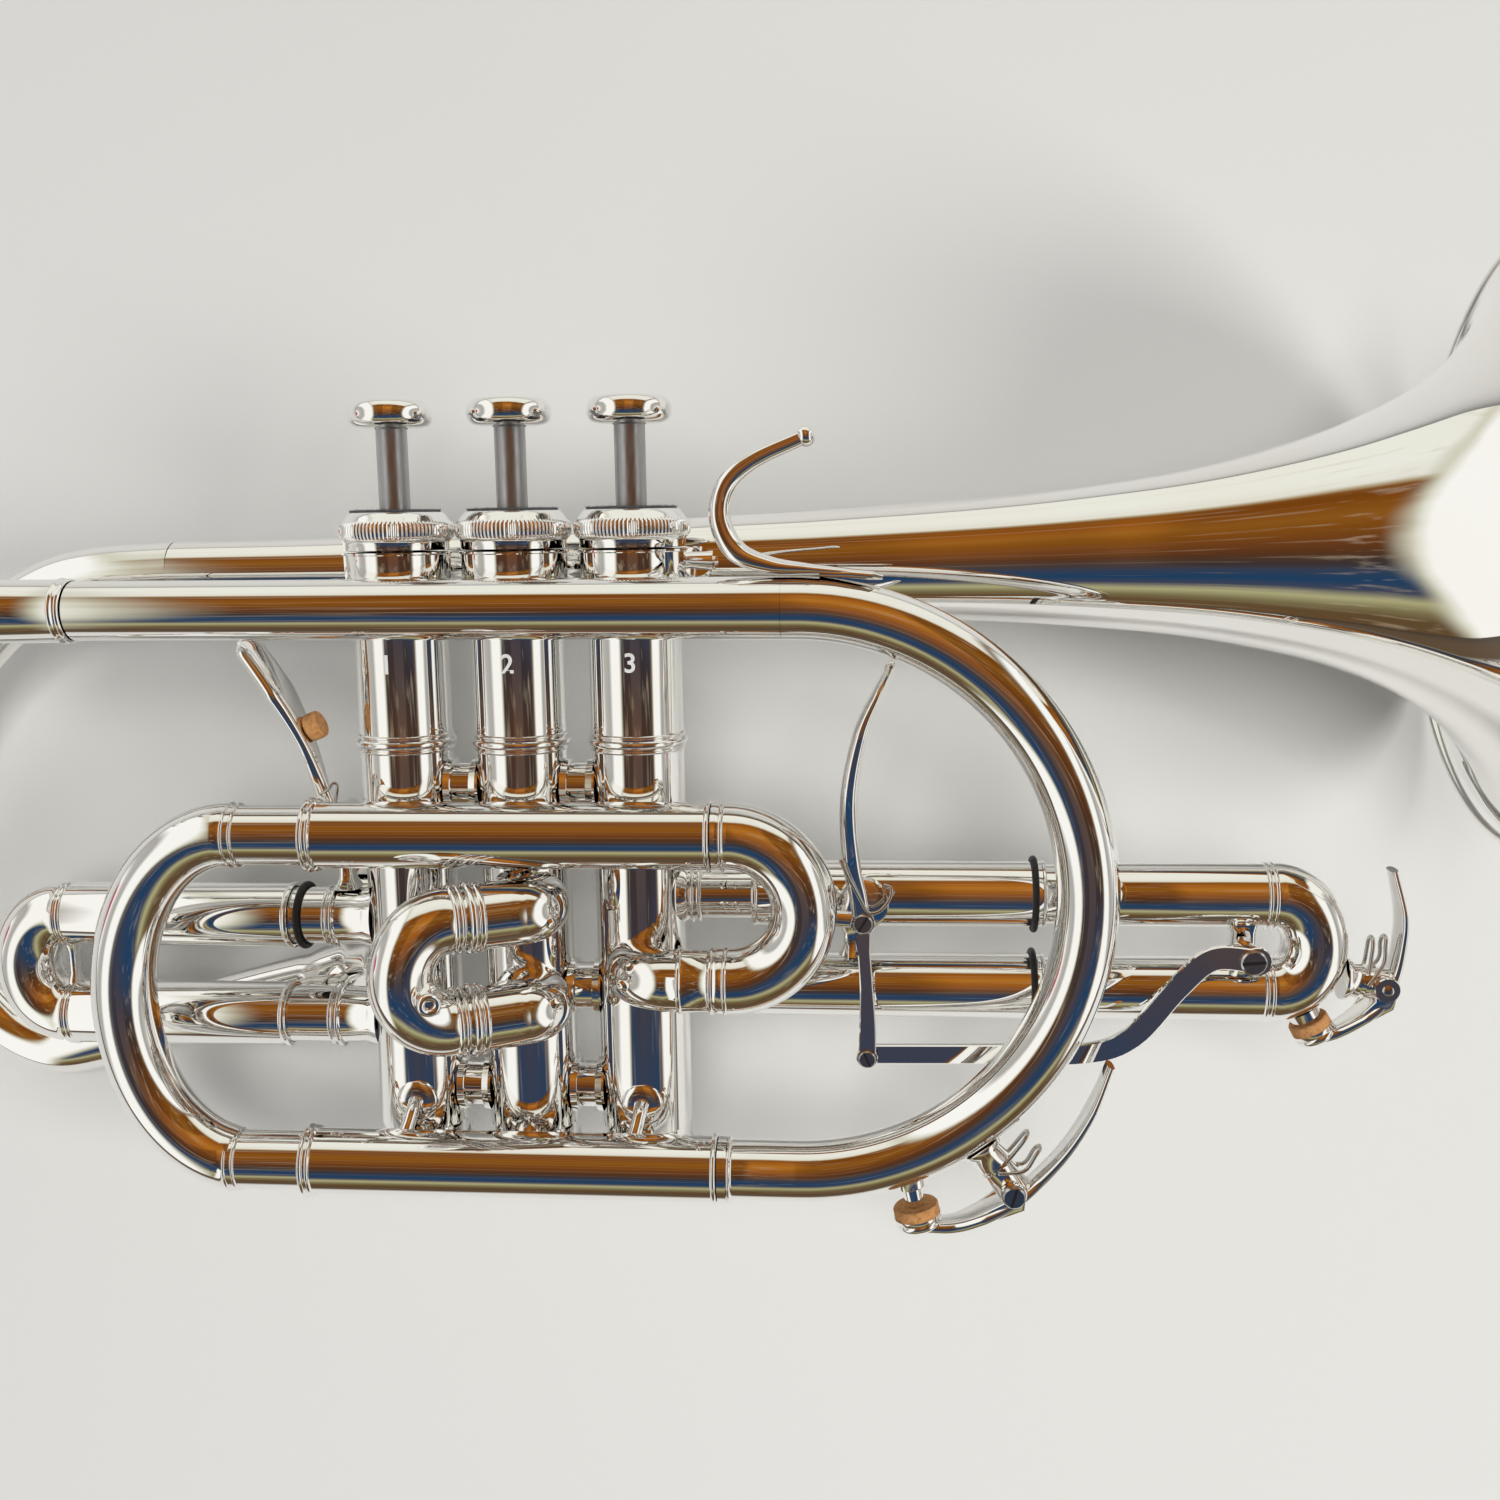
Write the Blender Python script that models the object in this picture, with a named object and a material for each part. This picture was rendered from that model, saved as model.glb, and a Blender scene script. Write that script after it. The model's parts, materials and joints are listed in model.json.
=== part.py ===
"""A B-flat cornet lying on its left side: three piston valves, four slides, two triggers, two water keys.

Lengths are in millimetres and turned into metres by MM. The instrument's own frame is used throughout:
+X from the mouthpiece to the bell, +Y up the valves to the buttons, +Z to the player's right. At the
end the whole cornet is laid on the plane that its bell rim and crook touch, with +Z up.
"""
import math

import bpy
import numpy as np
from mathutils import Vector

MM = 0.001

# ---------------------------------------------------------------- driving dimensions
CASING_R = 10.0             # outside of a valve casing
VALVE_SPACE = 5.6           # clear space between neighbouring casings
VALVE_PITCH = 2 * CASING_R + VALVE_SPACE    # distance between neighbouring valve axes
LEFT = -VALVE_PITCH - CASING_R              # the casings' left and right ends, which the slides start from
RIGHT = VALVE_PITCH + CASING_R
CASING_WALL = 1.3
VALVE_FIT = 0.2             # gap between a piston and its casing
PISTON_R = CASING_R - CASING_WALL - VALVE_FIT
CASING_TOP = 43.3
CASING_BOTTOM = -88.0
CAP_BOTTOM = -98.0
STROKE = 15.0               # travel of a valve
FIRST_TRAVEL = 7.5          # how far the first slide's trigger moves it
THIRD_TRAVEL = 12.0
KEY_TURN = 10.0             # degrees a water key opens
STEM_R = 3.4
BUTTON_R = 8.7
BUTTON_TOP = 75.0
CAP_TOP = 51.6              # top of a valve cap, where its felt lies in a shallow well
FELT_R = CASING_R - 0.6

BORE_R = 5.85               # half of the bore
TUBE_WALL = 0.5
TUBE_R = BORE_R + TUBE_WALL # outside of an inner tube
FIT = 0.25                  # gap between two tubes that slide or plug together
GAP = 0.35                  # gap between pieces that are soldered or screwed together
SLEEVE_WALL = 0.55
SLEEVE_R = TUBE_R + FIT + SLEEVE_WALL       # outside of a tube that another slides in
BOW_R = TUBE_R + 0.55       # outside of a bow
RING_R = TUBE_R + 1.15      # outside of a ferrule on an inner tube
COLLAR_R = SLEEVE_R + 0.65  # outside of a ferrule on a sleeve

LEAD_Z = CASING_R + SLEEVE_R + 0.75         # leadpipe and main tuning slide, to the right of the valves
LEAD_Y = 31.4
UPPER_Y = -15.2             # upper leg of the main tuning slide
LOWER_Y = -87.6             # lower leg
SLEEVE_END = RIGHT + 7.8    # where the two fixed sleeves meet their bows
BEND_R = 59.4               # front bend, half of LEAD_Y - LOWER_Y
SLEEVE_OPEN_UP = LEFT - 6.5 # open end of the upper sleeve
SLEEVE_OPEN_LOW = LEFT - 11.0
TUNING_PULL = 15.2          # how far the tuning slide is drawn at rest

FIRST_UP, FIRST_LOW = -37.4, -60.5      # legs of the first slide
THIRD_UP, THIRD_LOW = -31.6, -52.1      # legs of the third slide
SECOND_UP = UPPER_Y - SLEEVE_R - COLLAR_R - 1.05       # legs of the second slide, clear of the upper sleeve
SECOND_LOW = SECOND_UP - 21.8
SECOND_DIR = Vector((-0.87, 0.0, 0.493)).normalized()
THIRD_OPEN = RIGHT + 77.4          # open end of the third slide's sleeves
THIRD_BOW = THIRD_OPEN + 46.7
FIRST_OPEN = LEFT - 17.0          # open end of the first slide's moving tubes
FIRST_BOW = LEFT - 69.6

BELL_Z = -CASING_R - 13.5
BELL_Y = 38.6
BELL_RISE = 0.019           # the bell climbs this much for each millimetre towards its rim
BELL_TAIL = -86.0
BELL_RIM_X = 219.0
BELL_RIM_R = 68.0
BELL_WALL = 0.7
BELL_TAIL_R = 7.2
# how the flare opens: share of its length from the tail, share of its opening from the tail's radius
BELL_CURVE = [((x + 86.0) / 305.0, (r - 7.2) / 60.8) for x, r in (
    (-86.0, 7.2), (-47.0, 7.6), (0.0, 9.3), (42.0, 11.2), (96.0, 13.5), (127.0, 16.2),
    (149.0, 19.2), (170.0, 24.0), (184.0, 29.0), (195.0, 34.8), (203.0, 41.0), (209.0, 47.8),
    (213.5, 54.6), (216.8, 61.4), (219.0, 68.0))]
BELL_SHAPE = [(BELL_TAIL + a * (BELL_RIM_X - BELL_TAIL), BELL_TAIL_R + b * (BELL_RIM_R - BELL_TAIL_R))
              for a, b in BELL_CURVE]


def bell_radius(x):
    return float(np.interp(x, [q[0] for q in BELL_SHAPE], [q[1] for q in BELL_SHAPE]))


LINK_R = 5.3
SIDES = 10                  # facets round a tube
ROUND = 16                  # facets round a valve
FINE = 24                   # facets round the bell

# ---------------------------------------------------------------- clearing the scene
for old in list(bpy.data.objects):
    bpy.data.objects.remove(old, do_unlink=True)

nodes = {}


def material(name, colour, metallic, roughness):
    made = bpy.data.materials.new(name)
    made.use_nodes = True
    shader = made.node_tree.nodes["Principled BSDF"]
    shader.inputs["Base Color"].default_value = (*colour, 1.0)
    shader.inputs["Metallic"].default_value = metallic
    shader.inputs["Roughness"].default_value = roughness
    return made


LOOKS = {
    "silver": ((0.86, 0.86, 0.87), 1.0, 0.08),
    "steel": ((0.62, 0.63, 0.66), 1.0, 0.3),
    "monel": ((0.55, 0.55, 0.55), 1.0, 0.35),
    "felt": ((0.012, 0.012, 0.013), 0.0, 0.95),
    "cork": ((0.62, 0.42, 0.24), 0.0, 0.85),
    "rubber": ((0.02, 0.02, 0.02), 0.0, 0.6),
}


def put(name, points, faces, look):
    """A mesh object from points in millimetres."""
    mesh = bpy.data.meshes.new(name)
    mesh.from_pydata([tuple(MM * c for c in p) for p in points], [], faces)
    mesh.update()
    made = bpy.data.objects.new(name, mesh)
    bpy.context.scene.collection.objects.link(made)
    if look:
        made.data.materials.append(material(name, *LOOKS[look]))
        nodes[name] = made
    return made


# ---------------------------------------------------------------- paths
def line(a, b, n=1):
    a, b = Vector(a), Vector(b)
    return [a.lerp(b, i / n) for i in range(n + 1)]


def arc(centre, u, v, start, end, n):
    """Points round centre, at angles from u towards v, both as long as the radius. Degrees."""
    centre, u, v = Vector(centre), Vector(u), Vector(v)
    turns = [math.radians(start + (end - start) * i / n) for i in range(n + 1)]
    return [centre + u * math.cos(t) + v * math.sin(t) for t in turns]


def spline(points, n):
    """A smooth path through the points, n pieces between neighbours."""
    p = [Vector(q) for q in points]
    p = [2 * p[0] - p[1]] + p + [2 * p[-1] - p[-2]]
    out = []
    for i in range(1, len(p) - 2):
        for k in range(n):
            t = k / n
            out.append(0.5 * ((2 * p[i]) + (p[i + 1] - p[i - 1]) * t
                              + (2 * p[i - 1] - 5 * p[i] + 4 * p[i + 1] - p[i + 2]) * t * t
                              + (3 * p[i] - p[i - 1] - 3 * p[i + 1] + p[i + 2]) * t ** 3))
    return out + [p[-2]]


def frames(path, up):
    """Two vectors across the path at each point, carried along it without twist."""
    ways = []
    for i in range(len(path)):
        back = next((path[j] for j in range(i, -1, -1) if (path[j] - path[i]).length > 1e-6), None)
        fore = next((path[j] for j in range(i, len(path)) if (path[j] - path[i]).length > 1e-6), None)
        a = (path[i] - back).normalized() if back else Vector((0, 0, 0))
        b = (fore - path[i]).normalized() if fore else Vector((0, 0, 0))
        ways.append((a + b).normalized())
    across = Vector(up)
    out = []
    for way in ways:
        across = (across - across.dot(way) * way).normalized()
        out.append((across.copy(), way.cross(across)))
    return out


def ring(centre, frame, a, b, sides):
    return [centre + frame[0] * (a * math.cos(2 * math.pi * (k + 0.5) / sides))
            + frame[1] * (b * math.sin(2 * math.pi * (k + 0.5) / sides)) for k in range(sides)]


def skin(rings, closed_ends=True, loop=False):
    """Faces over rings of equal length; the rings turn right-handed about the way they go."""
    n = len(rings[0])
    points = [p for r in rings for p in r]
    faces = []
    last = len(rings) if loop else len(rings) - 1
    for i in range(last):
        a, b = i * n, ((i + 1) % len(rings)) * n
        faces += [(a + k, a + (k + 1) % n, b + (k + 1) % n, b + k) for k in range(n)]
    if closed_ends and not loop:
        faces.append(tuple(range(n - 1, -1, -1)))
        faces.append(tuple(range(len(points) - n, len(points))))
    return points, faces


def tube(name, stations, look="silver", up=(0, 0, 1), sides=SIDES):
    """A hollow tube. Each station is (point, outer radius, inner radius)."""
    path = [Vector(s[0]) for s in stations]
    across = frames(path, up)

    def side(which):
        out, seen = [], None
        for (p, *radii), f in zip(stations, across):
            now = (Vector(p), radii[which])
            if seen and (now[0] - seen[0]).length < 1e-6 and abs(now[1] - seen[1]) < 1e-6:
                continue
            seen = now
            out.append(ring(now[0], f, radii[which], radii[which], sides))
        return out
    points, faces = skin(side(0) + side(1)[::-1], loop=True)
    return put(name, points, faces, look)


def pipe(path, outer, inner):
    return [(p, outer, inner) for p in path]


def rod(name, path, sizes, look="silver", up=(0, 0, 1), sides=10):
    """A solid bar of oval section. sizes holds (half width along up, half width across) at each point."""
    path = [Vector(p) for p in path]
    if isinstance(sizes, tuple):
        sizes = [sizes] * len(path)
    if len(sizes) != len(path):
        at = np.linspace(0, len(sizes) - 1, len(path))
        sizes = [tuple(float(np.interp(t, range(len(sizes)), [s[k] for s in sizes])) for k in (0, 1))
                 for t in at]
    across = frames(path, up)
    return put(name, *skin([ring(p, f, s[0], s[1], sides) for p, f, s in zip(path, across, sizes)]), look)


def turned(name, origin, axis, profile, look="silver", sides=ROUND, up=(0, 0, 1)):
    """A body turned about an axis. profile holds (distance along the axis, radius), round one closed
    section; where it starts and ends at radius 0 the body is solid."""
    origin, axis = Vector(origin), Vector(axis).normalized()
    across = Vector(up) - Vector(up).dot(axis) * axis
    across.normalize()
    frame = (across, axis.cross(across))
    solid = profile[0][1] == 0
    body = profile[1:-1] if solid else profile
    rings = [ring(origin + axis * h, frame, r, r, sides) for h, r in body]
    return put(name, *skin(rings, closed_ends=solid, loop=not solid), look)


def block(name, centre, half, look="silver", turn=(0, 0, 0)):
    from mathutils import Euler
    spin = Euler([math.radians(t) for t in turn]).to_matrix()
    c = Vector(centre)
    pts = [c + spin @ Vector((half[0] * x, half[1] * y, half[2] * z))
           for x in (-1, 1) for y in (-1, 1) for z in (-1, 1)]
    faces = [(0, 1, 3, 2), (4, 6, 7, 5), (0, 4, 5, 1), (2, 3, 7, 6), (0, 2, 6, 4), (1, 5, 7, 3)]
    return put(name, pts, faces, look)


def cylinder(name, a, b, r, look=None, sides=SIDES, up=(0, 0, 1)):
    return rod(name, [a, b], (r, r), look, up, sides)


def combine(target, others, operation):
    """Joins the others to the target, or cuts them out of it, and drops them."""
    for other in others:
        step = target.modifiers.new("step", "BOOLEAN")
        step.operation, step.solver, step.object = operation, "EXACT", other
        bpy.context.view_layer.update()
        graph = bpy.context.evaluated_depsgraph_get()
        mesh = bpy.data.meshes.new_from_object(target.evaluated_get(graph))
        target.modifiers.clear()
        old = target.data
        target.data = mesh
        bpy.data.meshes.remove(old)
        for key in [k for k, o in nodes.items() if o == other]:
            del nodes[key]
        bpy.data.objects.remove(other, do_unlink=True)
    return target


def join(target, *others):
    return combine(target, others, "UNION")


def cut(target, *others):
    return combine(target, others, "DIFFERENCE")


def helper(fn, *args, **kw):
    """A piece made only to be joined to another or cut from it."""
    return fn("helper", *args, look=None, **kw)


# ---------------------------------------------------------------- bell and crook
def bell_point(x):
    return Vector((x, BELL_Y + BELL_RISE * max(0.0, x - 60.0), BELL_Z))


bell = [(bell_point(x), r, r - BELL_WALL) for x, r in BELL_SHAPE]
rim = bell_point(BELL_RIM_X)
bell[-1] = (rim, BELL_RIM_R, BELL_RIM_R - 1.6)
bell.insert(-1, (rim - Vector((1.7, 0, 0)), BELL_RIM_R, BELL_RIM_R - 2.6))
tube("bell_flare", bell, sides=FINE)

crook_path = spline([(BELL_TAIL - GAP, BELL_Y, BELL_Z), (-105.4, 37.6, BELL_Z), (-118.5, 34.4, BELL_Z),
                     (-133.0, 25.6, BELL_Z - 0.2), (-146.5, 9.5, -23.4), (-153.0, -11.0, -22.6),
                     (-153.5, -33.0, -21.4), (-147.5, -53.5, -19.4), (-136.0, -68.0, -17.2),
                     (-122.5, -74.6, -15.6), (-109.0, -73.0, -15.2), (-93.5, -67.6, -15.6),
                     (-78.0, -63.4, -17.0), (LEFT - 24.4, -58.8, -CASING_R - 8.0),
                     (LEFT - 11.4, -55.4, -CASING_R - 6.4), (LEFT - 1.8, -51.6, -CASING_R - 1.8),
                     (LEFT + 5.0, -49.6, -5.2)], 2)
count = len(crook_path) - 1
crook = [(p, BELL_SHAPE[0][1] + (TUBE_R - BELL_SHAPE[0][1]) * min(1, 1.6 * i / count),
          BELL_SHAPE[0][1] - BELL_WALL + (BORE_R - BELL_SHAPE[0][1] + BELL_WALL) * min(1, 1.6 * i / count))
         for i, p in enumerate(crook_path)]
bell_crook = tube("bell_crook", crook)
CROOK_IN = crook_path[-3]
CROOK_END = crook_path[-1]

# ---------------------------------------------------------------- leadpipe side
RECEIVER_X = -89.0
tube("mouthpiece_receiver", [((RECEIVER_X - 31, LEAD_Y + 0.9, LEAD_Z), 7.6, 5.9),
                             ((RECEIVER_X - 28.5, LEAD_Y + 0.9, LEAD_Z), 7.6, 5.8),
                             ((RECEIVER_X - 28.5, LEAD_Y + 0.9, LEAD_Z), 6.9, 5.8),
                             ((RECEIVER_X - 3, LEAD_Y + 0.9, LEAD_Z), 6.9, 5.2),
                             ((RECEIVER_X - 3, LEAD_Y + 0.9, LEAD_Z), 7.5, 5.2),
                             ((RECEIVER_X, LEAD_Y + 0.9, LEAD_Z), 7.5, 5.2)])
BEND_X = 119.9 - BEND_R
bend_mid = (LEAD_Y + LOWER_Y) / 2
tube("leadpipe", [((RECEIVER_X + GAP, LEAD_Y + 0.9, LEAD_Z), TUBE_R - 0.15, 5.0),
                  ((BEND_X - 2 - GAP, LEAD_Y, LEAD_Z), TUBE_R, BORE_R)])
half = (LEAD_Y - LOWER_Y) / 2
front = ([((BEND_X - 2, LEAD_Y, LEAD_Z), TUBE_R, BORE_R)]
         + pipe(arc((BEND_X, bend_mid, LEAD_Z), (BEND_R, 0, 0), (0, half, 0), 90, -90, 15), TUBE_R, BORE_R)
         + [((SLEEVE_END + 2.4, LOWER_Y, LEAD_Z), TUBE_R, BORE_R),
            ((SLEEVE_END + 2.4, LOWER_Y, LEAD_Z), SLEEVE_R, BORE_R),
            ((SLEEVE_END + GAP, LOWER_Y, LEAD_Z), SLEEVE_R, BORE_R)])
front_bend = tube("front_bend", front)


def sleeve(name, y, open_x):
    return tube(name, [((open_x, y, LEAD_Z), SLEEVE_R + 1.0, TUBE_R + FIT),
                       ((open_x + 2.6, y, LEAD_Z), SLEEVE_R + 1.0, TUBE_R + FIT),
                       ((open_x + 2.6, y, LEAD_Z), SLEEVE_R, TUBE_R + FIT),
                       ((SLEEVE_END - 1.4, y, LEAD_Z), SLEEVE_R, TUBE_R + FIT),
                       ((SLEEVE_END - 1.4, y, LEAD_Z), COLLAR_R, TUBE_R + FIT),
                       ((SLEEVE_END, y, LEAD_Z), COLLAR_R, TUBE_R + FIT)])


tuning_sleeve_upper = sleeve("tuning_sleeve_upper", UPPER_Y, SLEEVE_OPEN_UP)
tuning_sleeve_lower = sleeve("tuning_sleeve_lower", LOWER_Y, SLEEVE_OPEN_LOW)

bow_r = (UPPER_Y - LOWER_Y) / 2
bow_x = SLEEVE_OPEN_UP - TUNING_PULL + 8.0
mid = (UPPER_Y + LOWER_Y) / 2
leg_end = SLEEVE_END - 19.4
tuning = ([((leg_end, UPPER_Y, LEAD_Z), TUBE_R, BORE_R),
           ((SLEEVE_OPEN_UP - TUNING_PULL, UPPER_Y, LEAD_Z), TUBE_R, BORE_R),
           ((SLEEVE_OPEN_UP - TUNING_PULL, UPPER_Y, LEAD_Z), TUBE_R + 1.35, BORE_R),
           ((SLEEVE_OPEN_UP - TUNING_PULL - 2.2, UPPER_Y, LEAD_Z), TUBE_R + 1.35, BORE_R)]
          + pipe(arc((SLEEVE_OPEN_UP - TUNING_PULL - 2.2 + 0.0, mid, LEAD_Z), (-(92.4 - 59.5 - 7.1), 0, 0),
                     (0, bow_r, 0), 90, -78, 12), BOW_R + 0.2, BORE_R)
          + [((SLEEVE_OPEN_LOW - TUNING_PULL - 1.9, LOWER_Y, LEAD_Z), TUBE_R + 1.35, BORE_R),
             ((SLEEVE_OPEN_LOW - TUNING_PULL, LOWER_Y, LEAD_Z), TUBE_R + 1.35, BORE_R),
             ((SLEEVE_OPEN_LOW - TUNING_PULL, LOWER_Y, LEAD_Z), TUBE_R, BORE_R),
             ((leg_end, LOWER_Y, LEAD_Z), TUBE_R, BORE_R)])
tube("tuning_slide", tuning)

# inlet bow: from the upper sleeve round to the front of valve 3
INLET_Y = -46.2
inlet_r = (UPPER_Y - INLET_Y) / 2
inlet = ([((SLEEVE_END + GAP, UPPER_Y, LEAD_Z), SLEEVE_R, BORE_R),
          ((SLEEVE_END + 3, UPPER_Y, LEAD_Z), SLEEVE_R, BORE_R),
          ((SLEEVE_END + 3, UPPER_Y, LEAD_Z), BOW_R, BORE_R)]
         + pipe(arc((SLEEVE_END + 3, (UPPER_Y + INLET_Y) / 2, LEAD_Z), (inlet_r, 0, 0), (0, inlet_r, 0),
                    80, -90, 9), BOW_R, BORE_R)
         + [((SLEEVE_END + 3, INLET_Y, LEAD_Z), RING_R, BORE_R),
            ((SLEEVE_END + 0.5, INLET_Y, LEAD_Z), RING_R, BORE_R),
            ((SLEEVE_END + 0.5, INLET_Y, LEAD_Z), TUBE_R, BORE_R)]
         + pipe(arc((VALVE_PITCH + 8, INLET_Y, LEAD_Z - 9), (0, 0, 9), (-8, 0, 0), 0, 90, 6), TUBE_R, BORE_R)
         + [((VALVE_PITCH, INLET_Y, 4.0), TUBE_R, BORE_R)])
inlet_bow = tube("inlet_bow", inlet, up=(0, 0, 1))

# ---------------------------------------------------------------- valves
LINK_UP, LINK_MID, LINK_LOW = -7.8, -53.1, -75.8


def casing(i):
    x = (i - 2) * VALVE_PITCH
    r = CASING_R
    profile = [(CASING_BOTTOM, 0), (CASING_BOTTOM, r - 0.5), (CASING_BOTTOM + 4, r - 0.5), (CASING_BOTTOM + 4, r),
               (0.6, r), (1.2, r + 0.8), (3.8, r + 0.8), (4.4, r), (36.9, r), (36.9, r + 1.3),
               (CASING_TOP, r + 1.3), (CASING_TOP, 0)]
    return turned(f"valve_casing_{i}", (x, 0, 0), (0, 1, 0), profile)


casings = [casing(i) for i in (1, 2, 3)]
valve_x = [-VALVE_PITCH, 0.0, VALVE_PITCH]


def bore_out(i):
    """Clears the bore of casing i again after tubes were joined to it."""
    return cylinder("helper", (valve_x[i - 1], CASING_BOTTOM - 3, 0), (valve_x[i - 1], CASING_TOP + 3, 0),
                    PISTON_R + VALVE_FIT, sides=ROUND)


def clear_of(i, reach=GAP):
    return cylinder("helper", (valve_x[i - 1], CASING_BOTTOM - 1, 0), (valve_x[i - 1], 30, 0),
                    CASING_R + reach, sides=ROUND)


# links, held by the middle casing
for y, ends in ((LINK_UP, (-1, 1)), (LINK_MID, (0, 1)), (LINK_LOW, (-1, 1))):
    a, b = ends[0] * VALVE_PITCH, ends[1] * VALVE_PITCH
    if ends[0] == 0:
        a = 3.0
    join(casings[1], helper(cylinder, (a, y, 0), (b, y, 0), LINK_R, sides=10))
for i in (1, 3):
    cut(casings[1], cylinder("helper", (valve_x[i - 1], CASING_BOTTOM - 20, 0), (valve_x[i - 1], 60, 0),
                             CASING_R + 1.2, sides=ROUND))
STUB_R = TUBE_R - 0.75       # outside of the tubes that join the third slide to its valve
for y in (FIRST_UP, FIRST_LOW):
    join(casings[0], helper(cylinder, (-VALVE_PITCH - 6, y, 0), (LEFT - 64.4, y, 0), TUBE_R, sides=SIDES))
    join(casings[0], helper(cylinder, (LEFT - 10.0, y, 0), (LEFT - 6.8, y, 0), RING_R, sides=SIDES))
for y in (THIRD_UP, THIRD_LOW):
    join(casings[2], helper(cylinder, (VALVE_PITCH + 6, y, 0), (RIGHT + 16.4, y, 0), STUB_R, sides=SIDES))
    join(casings[2], helper(cylinder, (RIGHT + 1.0, y, 0), (RIGHT + 3.8, y, 0), STUB_R + 1.0, sides=SIDES))
SECOND_A = Vector((3.0, 0, CASING_R + 8.6))
SECOND_UP_WAY = Vector((0, 1, 0)).cross(SECOND_DIR)
second_path = {}
for y in (SECOND_UP, SECOND_LOW):
    turn = spline([(2.5, y, 5.0), (5.6, y, CASING_R + 1.5), (SECOND_A.x + 0.6, y, SECOND_A.z - 0.8),
                   tuple(Vector((SECOND_A.x, y, SECOND_A.z)) + SECOND_DIR * 3.5)], 2)
    root = Vector((SECOND_A.x, y, SECOND_A.z))
    second_path[y] = turn
    solid = rod("helper", turn + [root + SECOND_DIR * 12.6], (SLEEVE_R, SLEEVE_R), None, up=SECOND_UP_WAY,
                sides=SIDES)
    join(casings[1], solid)
    join(casings[1], cylinder("helper", root + SECOND_DIR * 9.6, root + SECOND_DIR * 12.6, COLLAR_R,
                              up=SECOND_UP_WAY))
for y in (SECOND_UP, SECOND_LOW):
    root = Vector((SECOND_A.x, y, SECOND_A.z))
    bore = rod("helper", second_path[y] + [root + SECOND_DIR * 4.0], (BORE_R, BORE_R), None,
               up=SECOND_UP_WAY, sides=SIDES)
    cut(casings[1], bore)
    cut(casings[1], cylinder("helper", root + SECOND_DIR * 1.6, root + SECOND_DIR * 14, TUBE_R + FIT,
                             up=SECOND_UP_WAY))
for y, ends in ((LINK_UP, (-1, 1)), (LINK_MID, (0, 1)), (LINK_LOW, (-1, 1))):
    a, b = ends[0] * VALVE_PITCH, ends[1] * VALVE_PITCH
    cut(casings[1], cylinder("helper", (a, y, 0), (b, y, 0), LINK_R - 0.8, sides=8))
for y in (FIRST_UP, FIRST_LOW):
    cut(casings[0], cylinder("helper", (-VALVE_PITCH, y, 0), (LEFT - 65.4, y, 0), BORE_R, sides=SIDES))
for y in (THIRD_UP, THIRD_LOW):
    cut(casings[2], cylinder("helper", (VALVE_PITCH, y, 0), (RIGHT + 17.4, y, 0), STUB_R - 0.6, sides=8))
for i in (1, 2, 3):
    cut(casings[i - 1], bore_out(i))
# ports through the outer casings where a tube meets them
cut(casings[0], cylinder("helper", CROOK_IN, CROOK_END, 4.6, sides=12))
cut(casings[2], cylinder("helper", (VALVE_PITCH, INLET_Y, 2), (VALVE_PITCH, INLET_Y, 14), 5.0, sides=12))
for y in (LINK_UP, LINK_LOW):
    cut(casings[0], cylinder("helper", (-VALVE_PITCH, y, 0), (-8, y, 0), LINK_R - 0.8, sides=8))
for y in (LINK_UP, LINK_MID, LINK_LOW):
    cut(casings[2], cylinder("helper", (8, y, 0), (VALVE_PITCH, y, 0), LINK_R - 0.8, sides=8))
cut(inlet_bow, clear_of(3))
cut(bell_crook, clear_of(1))
cut(bell_crook, cylinder("helper", (LEFT - 66, FIRST_LOW, 0), (LEFT + 3, FIRST_LOW, 0), TUBE_R + GAP, sides=SIDES))

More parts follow.
